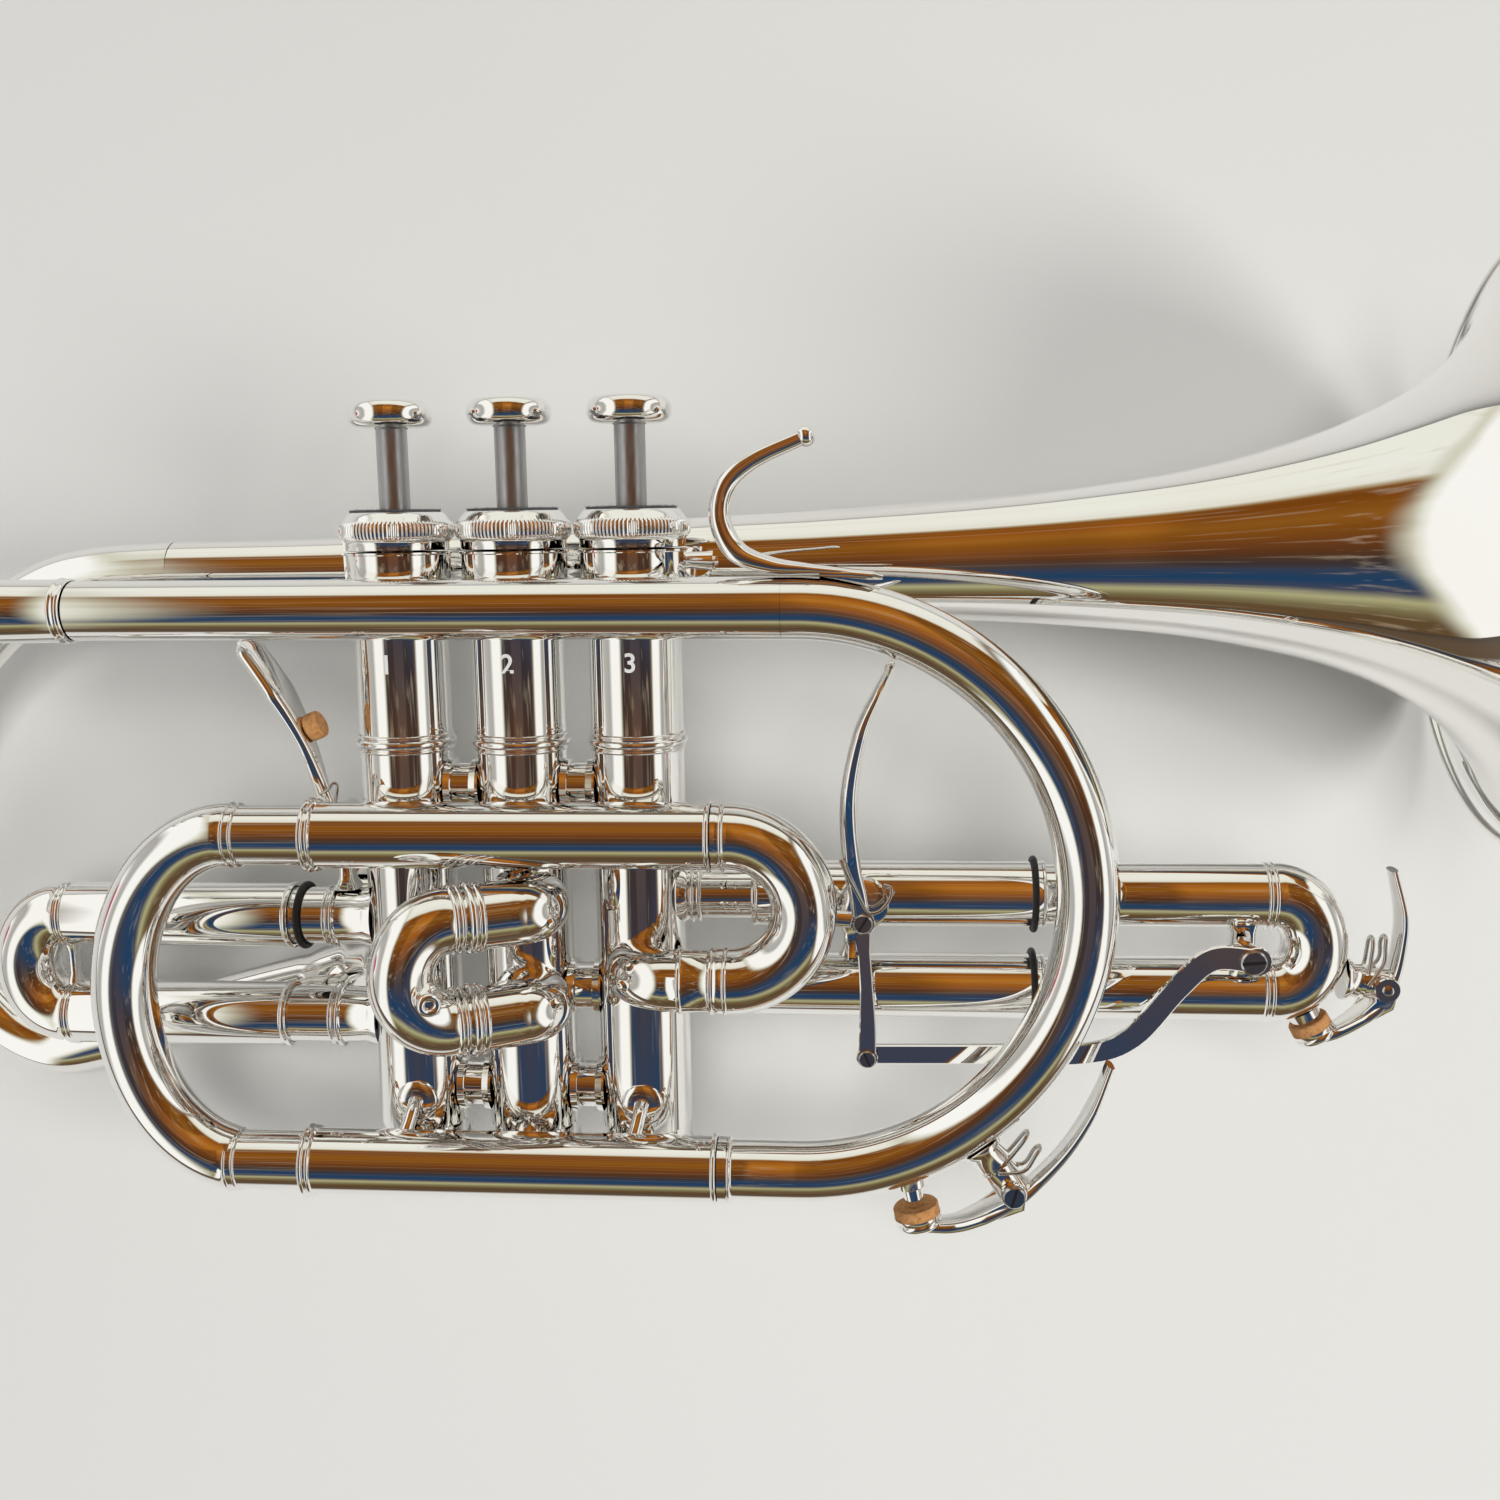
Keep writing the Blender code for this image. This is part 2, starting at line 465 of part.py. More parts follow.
for i, x in enumerate(valve_x, 1):
    turned(f"top_cap_{i}", (x, 0, 0), (0, 1, 0), [
        (CASING_TOP + GAP, CASING_R + 1.3), (CAP_TOP - 5.6, CASING_R + 1.3), (CAP_TOP - 5.6, CASING_R + 2.3),
        (CAP_TOP - 2.2, CASING_R + 2.3), (CAP_TOP - 1.9, CASING_R + 1.4), (CAP_TOP, CASING_R + 0.1),
        (CAP_TOP, FELT_R + GAP), (CAP_TOP - 1.4, FELT_R + GAP), (CAP_TOP - 1.4, STEM_R + 0.5),
        (CAP_TOP - 2.8, STEM_R + 0.5), (CAP_TOP - 2.8, CASING_R - 0.4), (CASING_TOP + GAP, CASING_R - 0.4)])
    turned(f"bottom_cap_{i}", (x, 0, 0), (0, 1, 0), [
        (CAP_BOTTOM, 2.0), (CAP_BOTTOM, CASING_R - 5.0), (CAP_BOTTOM + 1.5, CASING_R - 1.4),
        (CAP_BOTTOM + 3.2, CASING_R - 0.4), (CAP_BOTTOM + 3.2, CASING_R + 0.3),
        (CASING_BOTTOM - GAP, CASING_R + 0.3),
        (CASING_BOTTOM - GAP, CASING_R - 1.0), (CAP_BOTTOM + 3.6, CASING_R - 1.0), (CAP_BOTTOM + 1.6, 2.0)])
    turned(f"cap_felt_{i}", (x, 0, 0), (0, 1, 0), [
        (CAP_TOP - 1.4 + GAP, STEM_R + 0.4), (CAP_TOP - 1.4 + GAP, FELT_R), (CAP_TOP + 0.3, FELT_R),
        (CAP_TOP + 0.6, FELT_R - 0.5), (CAP_TOP + 0.6, STEM_R + 0.4)], "felt", sides=16)
    # piston: the ported body below, the spring barrel above
    low = CASING_BOTTOM - GAP - 6.0 + STROKE + 1.0
    piston = turned(f"piston_{i}", (x, 0, 0), (0, 1, 0), [
        (low, PISTON_R - 1.2), (low, PISTON_R), (2.0, PISTON_R), (4.0, PISTON_R - 0.6),
        (35.0, PISTON_R - 0.6), (35.0, STEM_R + 0.3), (33.8, STEM_R + 0.3), (33.8, PISTON_R - 1.4),
        (1.0, PISTON_R - 1.4), (0.2, 2.6), (-1.0, 2.6), (-1.0, PISTON_R - 1.2)],
        "monel", sides=ROUND)
    cut(piston, *[cylinder("helper", (x - 12, y, 0), (x + 12, y, 0), LINK_R - 0.8, sides=8)
                  for y in (LINK_UP, LINK_LOW + 6)])
    turned(f"valve_stem_{i}", (x, 0, 0), (0, 1, 0), [
        (35.0 + GAP, 0), (35.0 + GAP, 5.6), (37.4, 5.6), (37.4, STEM_R), (BUTTON_TOP - 5.6, STEM_R),
        (BUTTON_TOP - 5.6, 0)], "steel", sides=16)
    turned(f"finger_button_{i}", (x, 0, 0), (0, 1, 0), [
        (BUTTON_TOP - 5.3, 0), (BUTTON_TOP - 5.3, 7.0), (BUTTON_TOP - 3.8, BUTTON_R),
        (BUTTON_TOP - 1.0, BUTTON_R), (BUTTON_TOP - 0.1, 7.6), (BUTTON_TOP - 0.6, 5.5), (BUTTON_TOP - 0.6, 0)],
        "silver", sides=ROUND)

# ---------------------------------------------------------------- valve slides
first_r = (FIRST_UP - FIRST_LOW) / 2
first_mid = (FIRST_UP + FIRST_LOW) / 2
FIRST_IN = TUBE_R + FIT
FIRST_OUT = SLEEVE_R
first = ([((FIRST_OPEN, FIRST_UP, 0), FIRST_OUT, FIRST_IN), ((FIRST_BOW, FIRST_UP, 0), FIRST_OUT, FIRST_IN),
          ((FIRST_BOW, FIRST_UP, 0), FIRST_OUT + 0.45, FIRST_IN),
          ((FIRST_BOW - 2, FIRST_UP, 0), FIRST_OUT + 0.45, BORE_R)]
         + pipe(arc((FIRST_BOW - 2, first_mid, 0), (-(first_r - 2), 0, 0), (0, first_r, 0), 84, -84, 10),
                BOW_R, BORE_R)
         + [((FIRST_BOW - 2, FIRST_LOW, 0), FIRST_OUT + 0.45, BORE_R), ((FIRST_BOW, FIRST_LOW, 0), FIRST_OUT + 0.45, FIRST_IN),
            ((FIRST_BOW, FIRST_LOW, 0), FIRST_OUT, FIRST_IN), ((FIRST_OPEN - 2, FIRST_LOW, 0), FIRST_OUT, FIRST_IN)])
first_slide = tube("first_slide", first)
join(first_slide, helper(block, (FIRST_BOW - 1.0, first_mid, 0), (0.8, first_r - TUBE_R - 0.6, 1.1)))

ARM_END = LEFT - 5.6        # where the first slide's arm meets its trigger
ARM_X = FIRST_OPEN - 5.4
ARM_Y = FIRST_UP - 3.6          # on the far side of the upper leg, out of sight
ARM_Z = -SLEEVE_R - 3.55
join(first_slide, helper(block, (ARM_X, ARM_Y, (ARM_Z - SLEEVE_R) / 2), (1.6, 1.7, 2.4)),
     helper(block, ((ARM_END - 1.4 + ARM_X) / 2, ARM_Y, ARM_Z), ((ARM_END + 1.4 - ARM_X) / 2 + 1.6, 1.7, 0.8)))

THIRD_OUT = SLEEVE_R
THIRD_START = RIGHT + 14.4
third_sleeves = tube("third_slide_sleeves", [
    ((THIRD_START, THIRD_UP, 0), THIRD_OUT + 0.25, STUB_R + FIT),
    ((THIRD_START + 3.0, THIRD_UP, 0), THIRD_OUT + 0.25, STUB_R + FIT),
    ((THIRD_START + 3.0, THIRD_UP, 0), THIRD_OUT, TUBE_R + FIT), ((THIRD_OPEN, THIRD_UP, 0), THIRD_OUT, TUBE_R + FIT)])
lower = helper(tube, [
    ((THIRD_START, THIRD_LOW, 0), THIRD_OUT + 0.25, STUB_R + FIT),
    ((THIRD_START + 3.0, THIRD_LOW, 0), THIRD_OUT + 0.25, STUB_R + FIT),
    ((THIRD_START + 3.0, THIRD_LOW, 0), THIRD_OUT, TUBE_R + FIT), ((THIRD_OPEN, THIRD_LOW, 0), THIRD_OUT, TUBE_R + FIT)])
third_mid = (THIRD_UP + THIRD_LOW) / 2
third_r = (THIRD_UP - THIRD_LOW) / 2
join(third_sleeves, helper(block, (THIRD_START + 22.0, third_mid, 0), (3.0, third_r - TUBE_R - 0.45, 1.4)), lower)

third_in = THIRD_START + 12.0
third = ([((third_in, THIRD_UP, 0), TUBE_R, BORE_R), ((THIRD_OPEN + 2.4, THIRD_UP, 0), TUBE_R, BORE_R),
          ((THIRD_OPEN + 2.4, THIRD_UP, 0), BOW_R, BORE_R), ((THIRD_BOW, THIRD_UP, 0), BOW_R, BORE_R),
          ((THIRD_BOW, THIRD_UP, 0), RING_R, BORE_R), ((THIRD_BOW + 2, THIRD_UP, 0), RING_R, BORE_R)]
         + pipe(arc((THIRD_BOW + 2, third_mid, 0), (third_r - 2, 0, 0), (0, third_r, 0), 84, -84, 10), BOW_R, BORE_R)
         + [((THIRD_BOW + 2, THIRD_LOW, 0), RING_R, BORE_R), ((THIRD_BOW, THIRD_LOW, 0), RING_R, BORE_R),
            ((THIRD_BOW, THIRD_LOW, 0), BOW_R, BORE_R), ((THIRD_OPEN + 2.4, THIRD_LOW, 0), BOW_R, BORE_R),
            ((THIRD_OPEN + 2.4, THIRD_LOW, 0), TUBE_R, BORE_R), ((third_in, THIRD_LOW, 0), TUBE_R, BORE_R)])
third_slide = tube("third_slide", third)
THIRD_PIN = Vector((THIRD_BOW - 5.3, third_mid - 1.6, 0))
join(third_slide, helper(block, (THIRD_PIN.x, third_mid, 2.6), (2.9, third_r - TUBE_R + 1.0, 1.6)),
     cylinder("helper", THIRD_PIN + Vector((0, 0, 2)), THIRD_PIN + Vector((0, 0, 7.0)), 2.6, sides=12))

second_r = (SECOND_UP - SECOND_LOW) / 2
second_mid = (SECOND_UP + SECOND_LOW) / 2


def second_at(s, y):
    return Vector((SECOND_A.x, y, SECOND_A.z)) + SECOND_DIR * s


SECOND_IN = 3.0
SECOND_BOW = 14.4
second = ([(second_at(SECOND_IN, SECOND_UP), TUBE_R, BORE_R), (second_at(SECOND_BOW - 1, SECOND_UP), TUBE_R, BORE_R),
           (second_at(SECOND_BOW - 1, SECOND_UP), COLLAR_R - 0.2, BORE_R),
           (second_at(SECOND_BOW + 1, SECOND_UP), COLLAR_R - 0.2, BORE_R)]
          + pipe(arc(second_at(SECOND_BOW + 1, second_mid), SECOND_DIR * (second_r - 0.6), (0, second_r, 0),
                     82, -82, 9), BOW_R, BORE_R)
          + [(second_at(SECOND_BOW + 1, SECOND_LOW), COLLAR_R - 0.2, BORE_R),
             (second_at(SECOND_BOW - 1, SECOND_LOW), COLLAR_R - 0.2, BORE_R),
             (second_at(SECOND_BOW - 1, SECOND_LOW), TUBE_R, BORE_R), (second_at(SECOND_IN, SECOND_LOW), TUBE_R, BORE_R)])
second_slide = tube("second_slide", second, up=SECOND_UP_WAY)
knob_way = SECOND_UP_WAY.copy()
if knob_way.z < 0:
    knob_way = -knob_way
knob_at = second_at(SECOND_BOW + second_r, second_mid) + knob_way * 5.5
join(second_slide, rod("helper", [knob_at, knob_at + knob_way * 3.4, knob_at + knob_way * 4.4, knob_at + knob_way * 6.4,
                                  knob_at + knob_way * 7.4],
                       [(1.4, 1.4), (1.4, 1.4), (2.6, 2.6), (2.6, 2.6), (1.3, 1.3)], None, up=(0, 1, 0), sides=10))

# ---------------------------------------------------------------- rubber rings
for name, x, y, inner in (("first_ring", FIRST_OPEN + 2.0, FIRST_UP, TUBE_R),
                          ("third_ring_upper", THIRD_OPEN - 2.4, THIRD_UP, THIRD_OUT),
                          ("third_ring_lower", THIRD_OPEN - 2.4, THIRD_LOW, THIRD_OUT)):
    turned(name, (x, y, 0), (1, 0, 0), [(-0.75, inner + 0.1), (-0.75, inner + 0.7), (-0.35, inner + 1.2),
                                        (0.35, inner + 1.2), (0.75, inner + 0.7), (0.75, inner + 0.1)],
           "rubber", sides=SIDES)

# ---------------------------------------------------------------- finger hook and braces
hook_z = LEAD_Z
hook_y = LEAD_Y + TUBE_R    # the hook stands on top of the leadpipe
hook = rod("pinky_hook", spline([(71.5, hook_y + 0.9, hook_z), (64.0, hook_y + 1.45, hook_z),
                                 (56.0, hook_y + 2.3, hook_z), (49.3, hook_y + 5.1, hook_z),
                                 (46.2, hook_y + 11.6, hook_z), (47.6, hook_y + 18.2, hook_z),
                                 (53.0, hook_y + 22.8, hook_z), (62.9, hook_y + 27.1, hook_z)], 2),
           [(3.4, 0.5), (3.6, 0.9), (3.4, 1.6), (3.2, 2.1), (3.0, 2.1), (2.6, 1.9), (2.2, 1.6), (1.7, 1.5)], sides=8)
tip = (63.4, hook_y + 27.3, hook_z)
join(hook, rod("helper", [(61.4, hook_y + 26.5, hook_z), (62.0, hook_y + 26.8, hook_z), tip,
                          (64.6, hook_y + 28.0, hook_z), (65.2, hook_y + 28.3, hook_z)],
               [(1.0, 1.0), (1.7, 1.7), (2.1, 2.1), (1.6, 1.6), (0.8, 0.8)], None, sides=10))
cut(hook, cylinder("helper", (BEND_X - 30, LEAD_Y + 0.4, LEAD_Z), (BEND_X - 1, LEAD_Y, LEAD_Z), TUBE_R + GAP,
                   sides=SIDES),
    rod("helper", arc((BEND_X, bend_mid, LEAD_Z), (BEND_R, 0, 0), (0, half, 0), 90, 60, 5),
        (TUBE_R + GAP, TUBE_R + GAP), None, sides=SIDES))

brace_x = RIGHT + 2.6
brace = rod("bell_brace", [(brace_x, BELL_Y + 1.8, -CASING_R + 0.8), (brace_x, BELL_Y + 0.8, -CASING_R - 1.4),
                           (brace_x, BELL_Y + 0.4, -CASING_R - 1.9)],
            [(2.2, 2.2), (1.9, 1.9), (3.4, 3.4)], up=(0, 1, 0), sides=10)
cut(brace, cylinder("helper", bell_point(25), bell_point(50), bell_radius(50) + 0.21, sides=FINE))
leadpost = rod("leadpipe_brace", [(VALVE_PITCH + 0.4, LEAD_Y + 1.6, CASING_R - 0.6),
                                  (VALVE_PITCH + 0.4, LEAD_Y + 1.2, LEAD_Z - 5.5)], [(3.2, 3.2), (3.2, 3.2)], sides=10,
               up=(0, 1, 0))
cut(leadpost, cylinder("helper", (VALVE_PITCH, 20, 0), (VALVE_PITCH, 45, 0), CASING_R + GAP, sides=ROUND),
    cylinder("helper", (0, LEAD_Y + 0.5, LEAD_Z), (50, LEAD_Y + 0.2, LEAD_Z), TUBE_R + GAP, sides=SIDES))
for i in (1, 3):
    x = valve_x[i - 1] + (1.4 if i == 1 else 0.4)
    post = cylinder(f"lower_brace_{i}", (x, LOWER_Y + 10.8, CASING_R - 1.0), (x, LOWER_Y + 10.8, CASING_R + 1.6), 4.4, "silver",
                    sides=14)
    join(post, cylinder("helper", (x, LOWER_Y + 10.8, CASING_R + 0.6), (x - 1.4, LOWER_Y + 3.6, LEAD_Z - 1.3), 1.6,
                        sides=10))
    cut(post, clear_of(i, 0.3), cylinder("helper", (x - 12, LOWER_Y, LEAD_Z), (x + 12, LOWER_Y, LEAD_Z),
                                         SLEEVE_R + 0.3, sides=SIDES))

# ---------------------------------------------------------------- third slide trigger
T3 = Vector((THIRD_START + 24.2, THIRD_UP - 4.0, 0))           # pivot on the upper sleeve
T3_LOW = Vector((T3.x + 0.8, THIRD_LOW - 13.3, 0))       # pin at the lower end of the lever
plate_z = THIRD_OUT + 0.3
bracket = rod("third_trigger_bracket", [(T3.x, T3.y + 4.6, plate_z - 0.3), (T3.x, T3.y + 4.6, plate_z + 0.9)],
              (5.2, 6.0), sides=12, up=(0, 1, 0))
join(bracket, cylinder("helper", T3 + Vector((0, 0, plate_z + 0.2)), T3 + Vector((0, 0, plate_z + 2.4)), 1.5, sides=12))
cut(bracket, cylinder("helper", (T3.x - 24, THIRD_UP, 0), (T3.x + 26, THIRD_UP, 0), THIRD_OUT + GAP, sides=SIDES))
lev_z = plate_z + 2.2
lever = rod("third_trigger_lever", spline([(T3_LOW.x, T3_LOW.y - 1.2, lev_z), (T3.x + 0.7, -50.0, lev_z),
                                           (T3.x - 0.2, T3.y, lev_z), (T3.x - 2.4, -22.0, lev_z + 0.4),
                                           (T3.x - 2.4, -8.0, lev_z + 1.0), (T3.x + 0.4, 5.0, lev_z + 1.0),
                                           (T3.x + 5.8, 18.4, lev_z + 1.0)], 2),
            [(0.9, 2.0), (0.9, 1.6), (0.9, 2.6), (1.6, 2.1), (4.0, 1.8), (5.4, 1.6), (4.0, 0.9)], sides=10)
cut(lever, cylinder("helper", T3 + Vector((0, 0, plate_z)), T3 + Vector((0, 0, plate_z + 6)), 1.85, sides=12))
link_z = lev_z - 2.3
link = rod("third_trigger_link", spline([(T3_LOW.x - 1.6, T3_LOW.y, link_z), (T3_LOW.x + 25.0, T3_LOW.y + 0.4, link_z),
                                         (THIRD_PIN.x - 33.4, T3_LOW.y + 0.8, link_z),
                                         (THIRD_PIN.x - 23.4, -60.5, link_z + 0.6), (THIRD_PIN.x - 14.4, -49.5, link_z + 1.2),
                                         (THIRD_PIN.x - 7.4, THIRD_PIN.y + 0.4, link_z + 1.6),
                                         (THIRD_PIN.x + 2.2, THIRD_PIN.y, link_z + 1.6)], 2),
           [(0.8, 2.3), (0.8, 2.2), (0.8, 2.3), (0.8, 2.4), (0.8, 2.4), (0.8, 2.6), (0.8, 3.2)], sides=8)

# ---------------------------------------------------------------- first slide trigger
T1 = Vector((LEFT - 5.0, UPPER_Y, 0))          # pivot, behind the tuning sleeve
T1_Z = CASING_R - 1.7          # between the first slide and the upper sleeve
BARREL_R = 2.2
bracket1 = cylinder("first_trigger_bracket", T1 + Vector((0, 0, -3.0)), T1 + Vector((0, 0, 3.0)), BARREL_R + 1.9, "silver", up=(1, 0, 0))
join(bracket1, helper(block, (T1.x, (T1.y + FIRST_UP + TUBE_R) / 2, 0), (1.7, (T1.y - FIRST_UP - TUBE_R) / 2, 2.8)))
cut(bracket1, cylinder("helper", (LEFT - 25, FIRST_UP, 0), (LEFT + 5, FIRST_UP, 0), RING_R + GAP))
cut(bracket1, cylinder("helper", T1 + Vector((0, 0, -9)), T1 + Vector((0, 0, 9)), BARREL_R + GAP, up=(1, 0, 0)))
cut(bracket1, clear_of(1))
lever1 = rod("first_trigger_lever", spline([(T1.x + 0.2, T1.y - 2.0, T1_Z), (T1.x, T1.y, T1_Z), (T1.x - 1.7, -6.8, T1_Z + 0.1),
                                            (T1.x - 4.6, 3.6, T1_Z + 0.1), (T1.x - 9.0, 13.6, T1_Z - 0.1),
                                            (T1.x - 15.8, 23.6, T1_Z - 0.3)], 2),
             [(0.9, 2.4), (0.9, 3.0), (1.6, 1.9), (3.6, 1.6), (6.0, 1.6), (4.6, 1.0)], sides=10)
join(lever1, cylinder("helper", T1 + Vector((0, 0, -SLEEVE_R - 1.7)), T1 + Vector((0, 0, T1_Z + 0.3)), BARREL_R, up=(1, 0, 0)),
     rod("helper", line((T1.x, T1.y + 1.6, -SLEEVE_R - 1.4), (T1.x, ARM_Y - 1.4, -SLEEVE_R - 1.4), 3), (0.8, 2.2), None, sides=8))
cork1 = cylinder("first_trigger_cork", (T1.x - 3.5, 6.1, 8.2), (T1.x - 0.6, 7.4, 8.2), 3.0, "cork", up=(0, 0, 1))

# ---------------------------------------------------------------- water keys
PIN_R = 0.85


def water_key(number, holder, hole, out, neck, cork_r, pivot, foot, path, sizes, tube_cut):
    """A sprung lever over a drain hole in holder. hole: on the tube's surface; out: the way it faces;
    neck: how far its nipple stands out; pivot: centre of the hinge pin, which points along Z; foot: where
    the saddle meets the tube; path: the lever from the cup on; tube_cut: the tube's outside, to clear."""
    pin = Vector((0, 0, 1))
    out = Vector(out).normalized()
    hole, pivot, foot = Vector(hole), Vector(pivot), Vector(foot)
    join(holder, helper(turned, hole - out * 2.0, out, [(0, 0), (0, 3.4), (3.0, 3.4), (3.0, 2.3), (2.0 + neck, 2.1),
                                                       (2.0 + neck, 0)], sides=12, up=pin))
    cut(holder, cylinder("helper", hole - out * 5.0, hole + out * (neck + 2), 1.3, sides=8, up=pin))
    seat = hole + out * (neck + 0.35)
    cylinder(f"water_key_cork_{number}", seat, seat + out * 2.6, cork_r, "cork", up=pin)
    seat = seat + out * (2.6 + GAP)
    lever = cylinder(f"water_key_lever_{number}", seat, seat + out * 2.6, cork_r + 0.3, "silver", up=pin)
    join(lever, rod("helper", spline([seat + out * 1.4] + path, 2), sizes, None, up=pin, sides=8),
         cylinder("helper", pivot - pin * 3.4, pivot + pin * 3.4, 2.4, up=out))
    cut(lever, cylinder("helper", pivot - pin * 9, pivot + pin * 9, PIN_R + 0.3, sides=10, up=out))
    saddle = cylinder(f"water_key_saddle_{number}", pivot - pin * 5.3, pivot + pin * 5.3, PIN_R, "silver", sides=10,
                      up=out)
    back = (foot - pivot).normalized()
    for side in (-1, 1):
        c = pivot + pin * (side * 4.5)
        join(saddle, rod("helper", [c - back * 1.7, foot + pin * (side * 4.5) - back * 1.0], [(0.75, 1.8), (0.75, 2.2)], None,
                         up=pin, sides=8))
    join(saddle, rod("helper", [foot - back * 1.9, foot - back * 0.2], (5.25, 2.4), None, up=pin, sides=8))
    cut(saddle, *tube_cut())


bend_middle = Vector((BEND_X, bend_mid, LEAD_Z))
KEY1_ANGLE = -69.0
hole1 = bend_middle + (BEND_R + TUBE_R) * Vector((math.cos(math.radians(KEY1_ANGLE)), math.sin(math.radians(KEY1_ANGLE)), 0))
pivot1 = hole1 + Vector((21.2, -0.6, 0))
foot1 = bend_middle + (pivot1 - bend_middle).normalized() * (BEND_R + TUBE_R)
water_key(1, front_bend, hole1, (0.2, -0.98, 0), 5.0, 4.5, pivot1, foot1,
          [pivot1 + Vector(v) for v in ((-12.2, -8.6, 0), (-6.0, -6.0, 0), (0.3, -2.4, 0), (5.2, 1.6, 0), (11.3, 9.0, 0),
                                        (16.2, 17.8, 0), (19.7, 27.0, 0))],
          [(3.0, 1.1), (2.8, 1.2), (2.3, 1.2), (2.2, 1.5), (2.3, 1.4), (2.6, 1.1), (3.4, 0.8), (3.4, 0.7)],
          lambda: [rod("helper", arc(bend_middle, (BEND_R, 0, 0), (0, BEND_R, 0), -24, -84, 5),
                       (TUBE_R + GAP, TUBE_R + GAP), None, sides=SIDES)])

bow2 = Vector((THIRD_BOW + 2, third_mid, 0))
KEY2_ANGLE = -67.0
hole2 = bow2 + (third_r + BOW_R) * Vector((math.cos(math.radians(KEY2_ANGLE)), math.sin(math.radians(KEY2_ANGLE)), 0))
pivot2 = hole2 + Vector((15.6, 6.8, 0))
foot2 = Vector((bow2.x + third_r - 2 + BOW_R - 0.3, pivot2.y + 1.2, 0))
water_key(2, third_slide, hole2, (0.49, -0.87, 0), 1.2, 4.3, pivot2, foot2,
          [pivot2 + Vector(v) for v in ((-8.6, -10.2, 0), (-3.6, -6.6, 0), (-0.4, -3.4, 0), (2.2, 1.8, 0), (3.4, 9.4, 0),
                                        (3.3, 16.0, 0), (1.2, 25.0, 0))],
          [(3.0, 1.1), (2.8, 1.2), (2.3, 1.2), (2.2, 1.5), (2.3, 1.4), (2.6, 1.1), (3.4, 0.8), (3.4, 0.7)],
          lambda: [rod("helper", arc(bow2, (third_r - 2, 0, 0), (0, third_r, 0), 60, -60, 8), (BOW_R + GAP, BOW_R + GAP),
                       None, sides=SIDES)])

# ---------------------------------------------------------------- laid on the table
def solid_of(made):
    """Corner points of a node and its triangles."""
    mesh = made.data
    mesh.calc_loop_triangles()
    return (np.array([tuple(v.co) for v in mesh.vertices]), np.array([tuple(t.vertices) for t in mesh.loop_triangles]))


def centre_of_mass():
    total, moment = 0.0, np.zeros(3)
    for made in nodes.values():
        points, faces = solid_of(made)
        a, b, c = (points[faces[:, k]] for k in range(3))
        volume = np.einsum("ij,ij->i", a, np.cross(b, c)) / 6
        weight = 0.1 if made.data.materials[0].name[:4] in ("felt", "cork") else 1.0
        total += weight * volume.sum()
        moment += weight * ((a + b + c) / 4 * volume[:, None]).sum(axis=0)
    return moment / total


def three_feet(points, over):
    """The three points that carry a body whose centre of mass is over, seen along Z. It starts from far
    points high up and lets in the lowest point below their plane until none is left."""
    feet = np.array([[over[0] - 9, over[1] - 9, 9.0], [over[0] + 9, over[1] - 9, 9.0], [over[0], over[1] + 9, 9.0]])
    for _ in range(400):
        normal = np.cross(feet[1] - feet[0], feet[2] - feet[0])
        normal *= np.sign(normal[2])
        under = (points - feet[0]) @ normal
        lowest = points[np.argmin(under)]
        if under.min() > -1e-12:
            break
        for k in range(3):
            tried = feet.copy()
            tried[k] = lowest
            shares = np.linalg.lstsq(np.vstack([tried[:, :2].T, np.ones(3)]), np.array([*over[:2], 1.0]), rcond=None)[0]
            if shares.min() >= -1e-9:
                feet = tried
                break
    return feet, normal / np.linalg.norm(normal)


everything = np.concatenate([solid_of(made)[0] for made in nodes.values()])
middle = centre_of_mass()
turn = np.eye(3)
for _ in range(12):
    feet, up = three_feet(everything @ turn.T, turn @ middle)
    up = turn.T @ up
    along = np.array([1.0, 0.0, 0.0]) - up[0] * up
    along /= np.linalg.norm(along)
    turn = np.array([along, np.cross(up, along), up])
laid = everything @ turn.T
low, high = laid.min(axis=0), laid.max(axis=0)
shift = np.array([-(low[0] + high[0]) / 2, -(low[1] + high[1]) / 2, -low[2]])
for made in nodes.values():
    mesh = made.data
    flat = solid_of(made)[0] @ turn.T + shift
    mesh.vertices.foreach_set("co", flat.astype(np.float32).ravel())
    mesh.update()
bpy.context.view_layer.update()
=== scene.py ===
"""The cornet's visual model, lit and seen as it was found. Lengths in the helpers are in millimetres, in the
instrument's own frame: +X to the bell, +Y up the valves, +Z to the player's right."""
import math
import json

import bpy
import numpy as np
from mathutils import Euler, Matrix, Vector


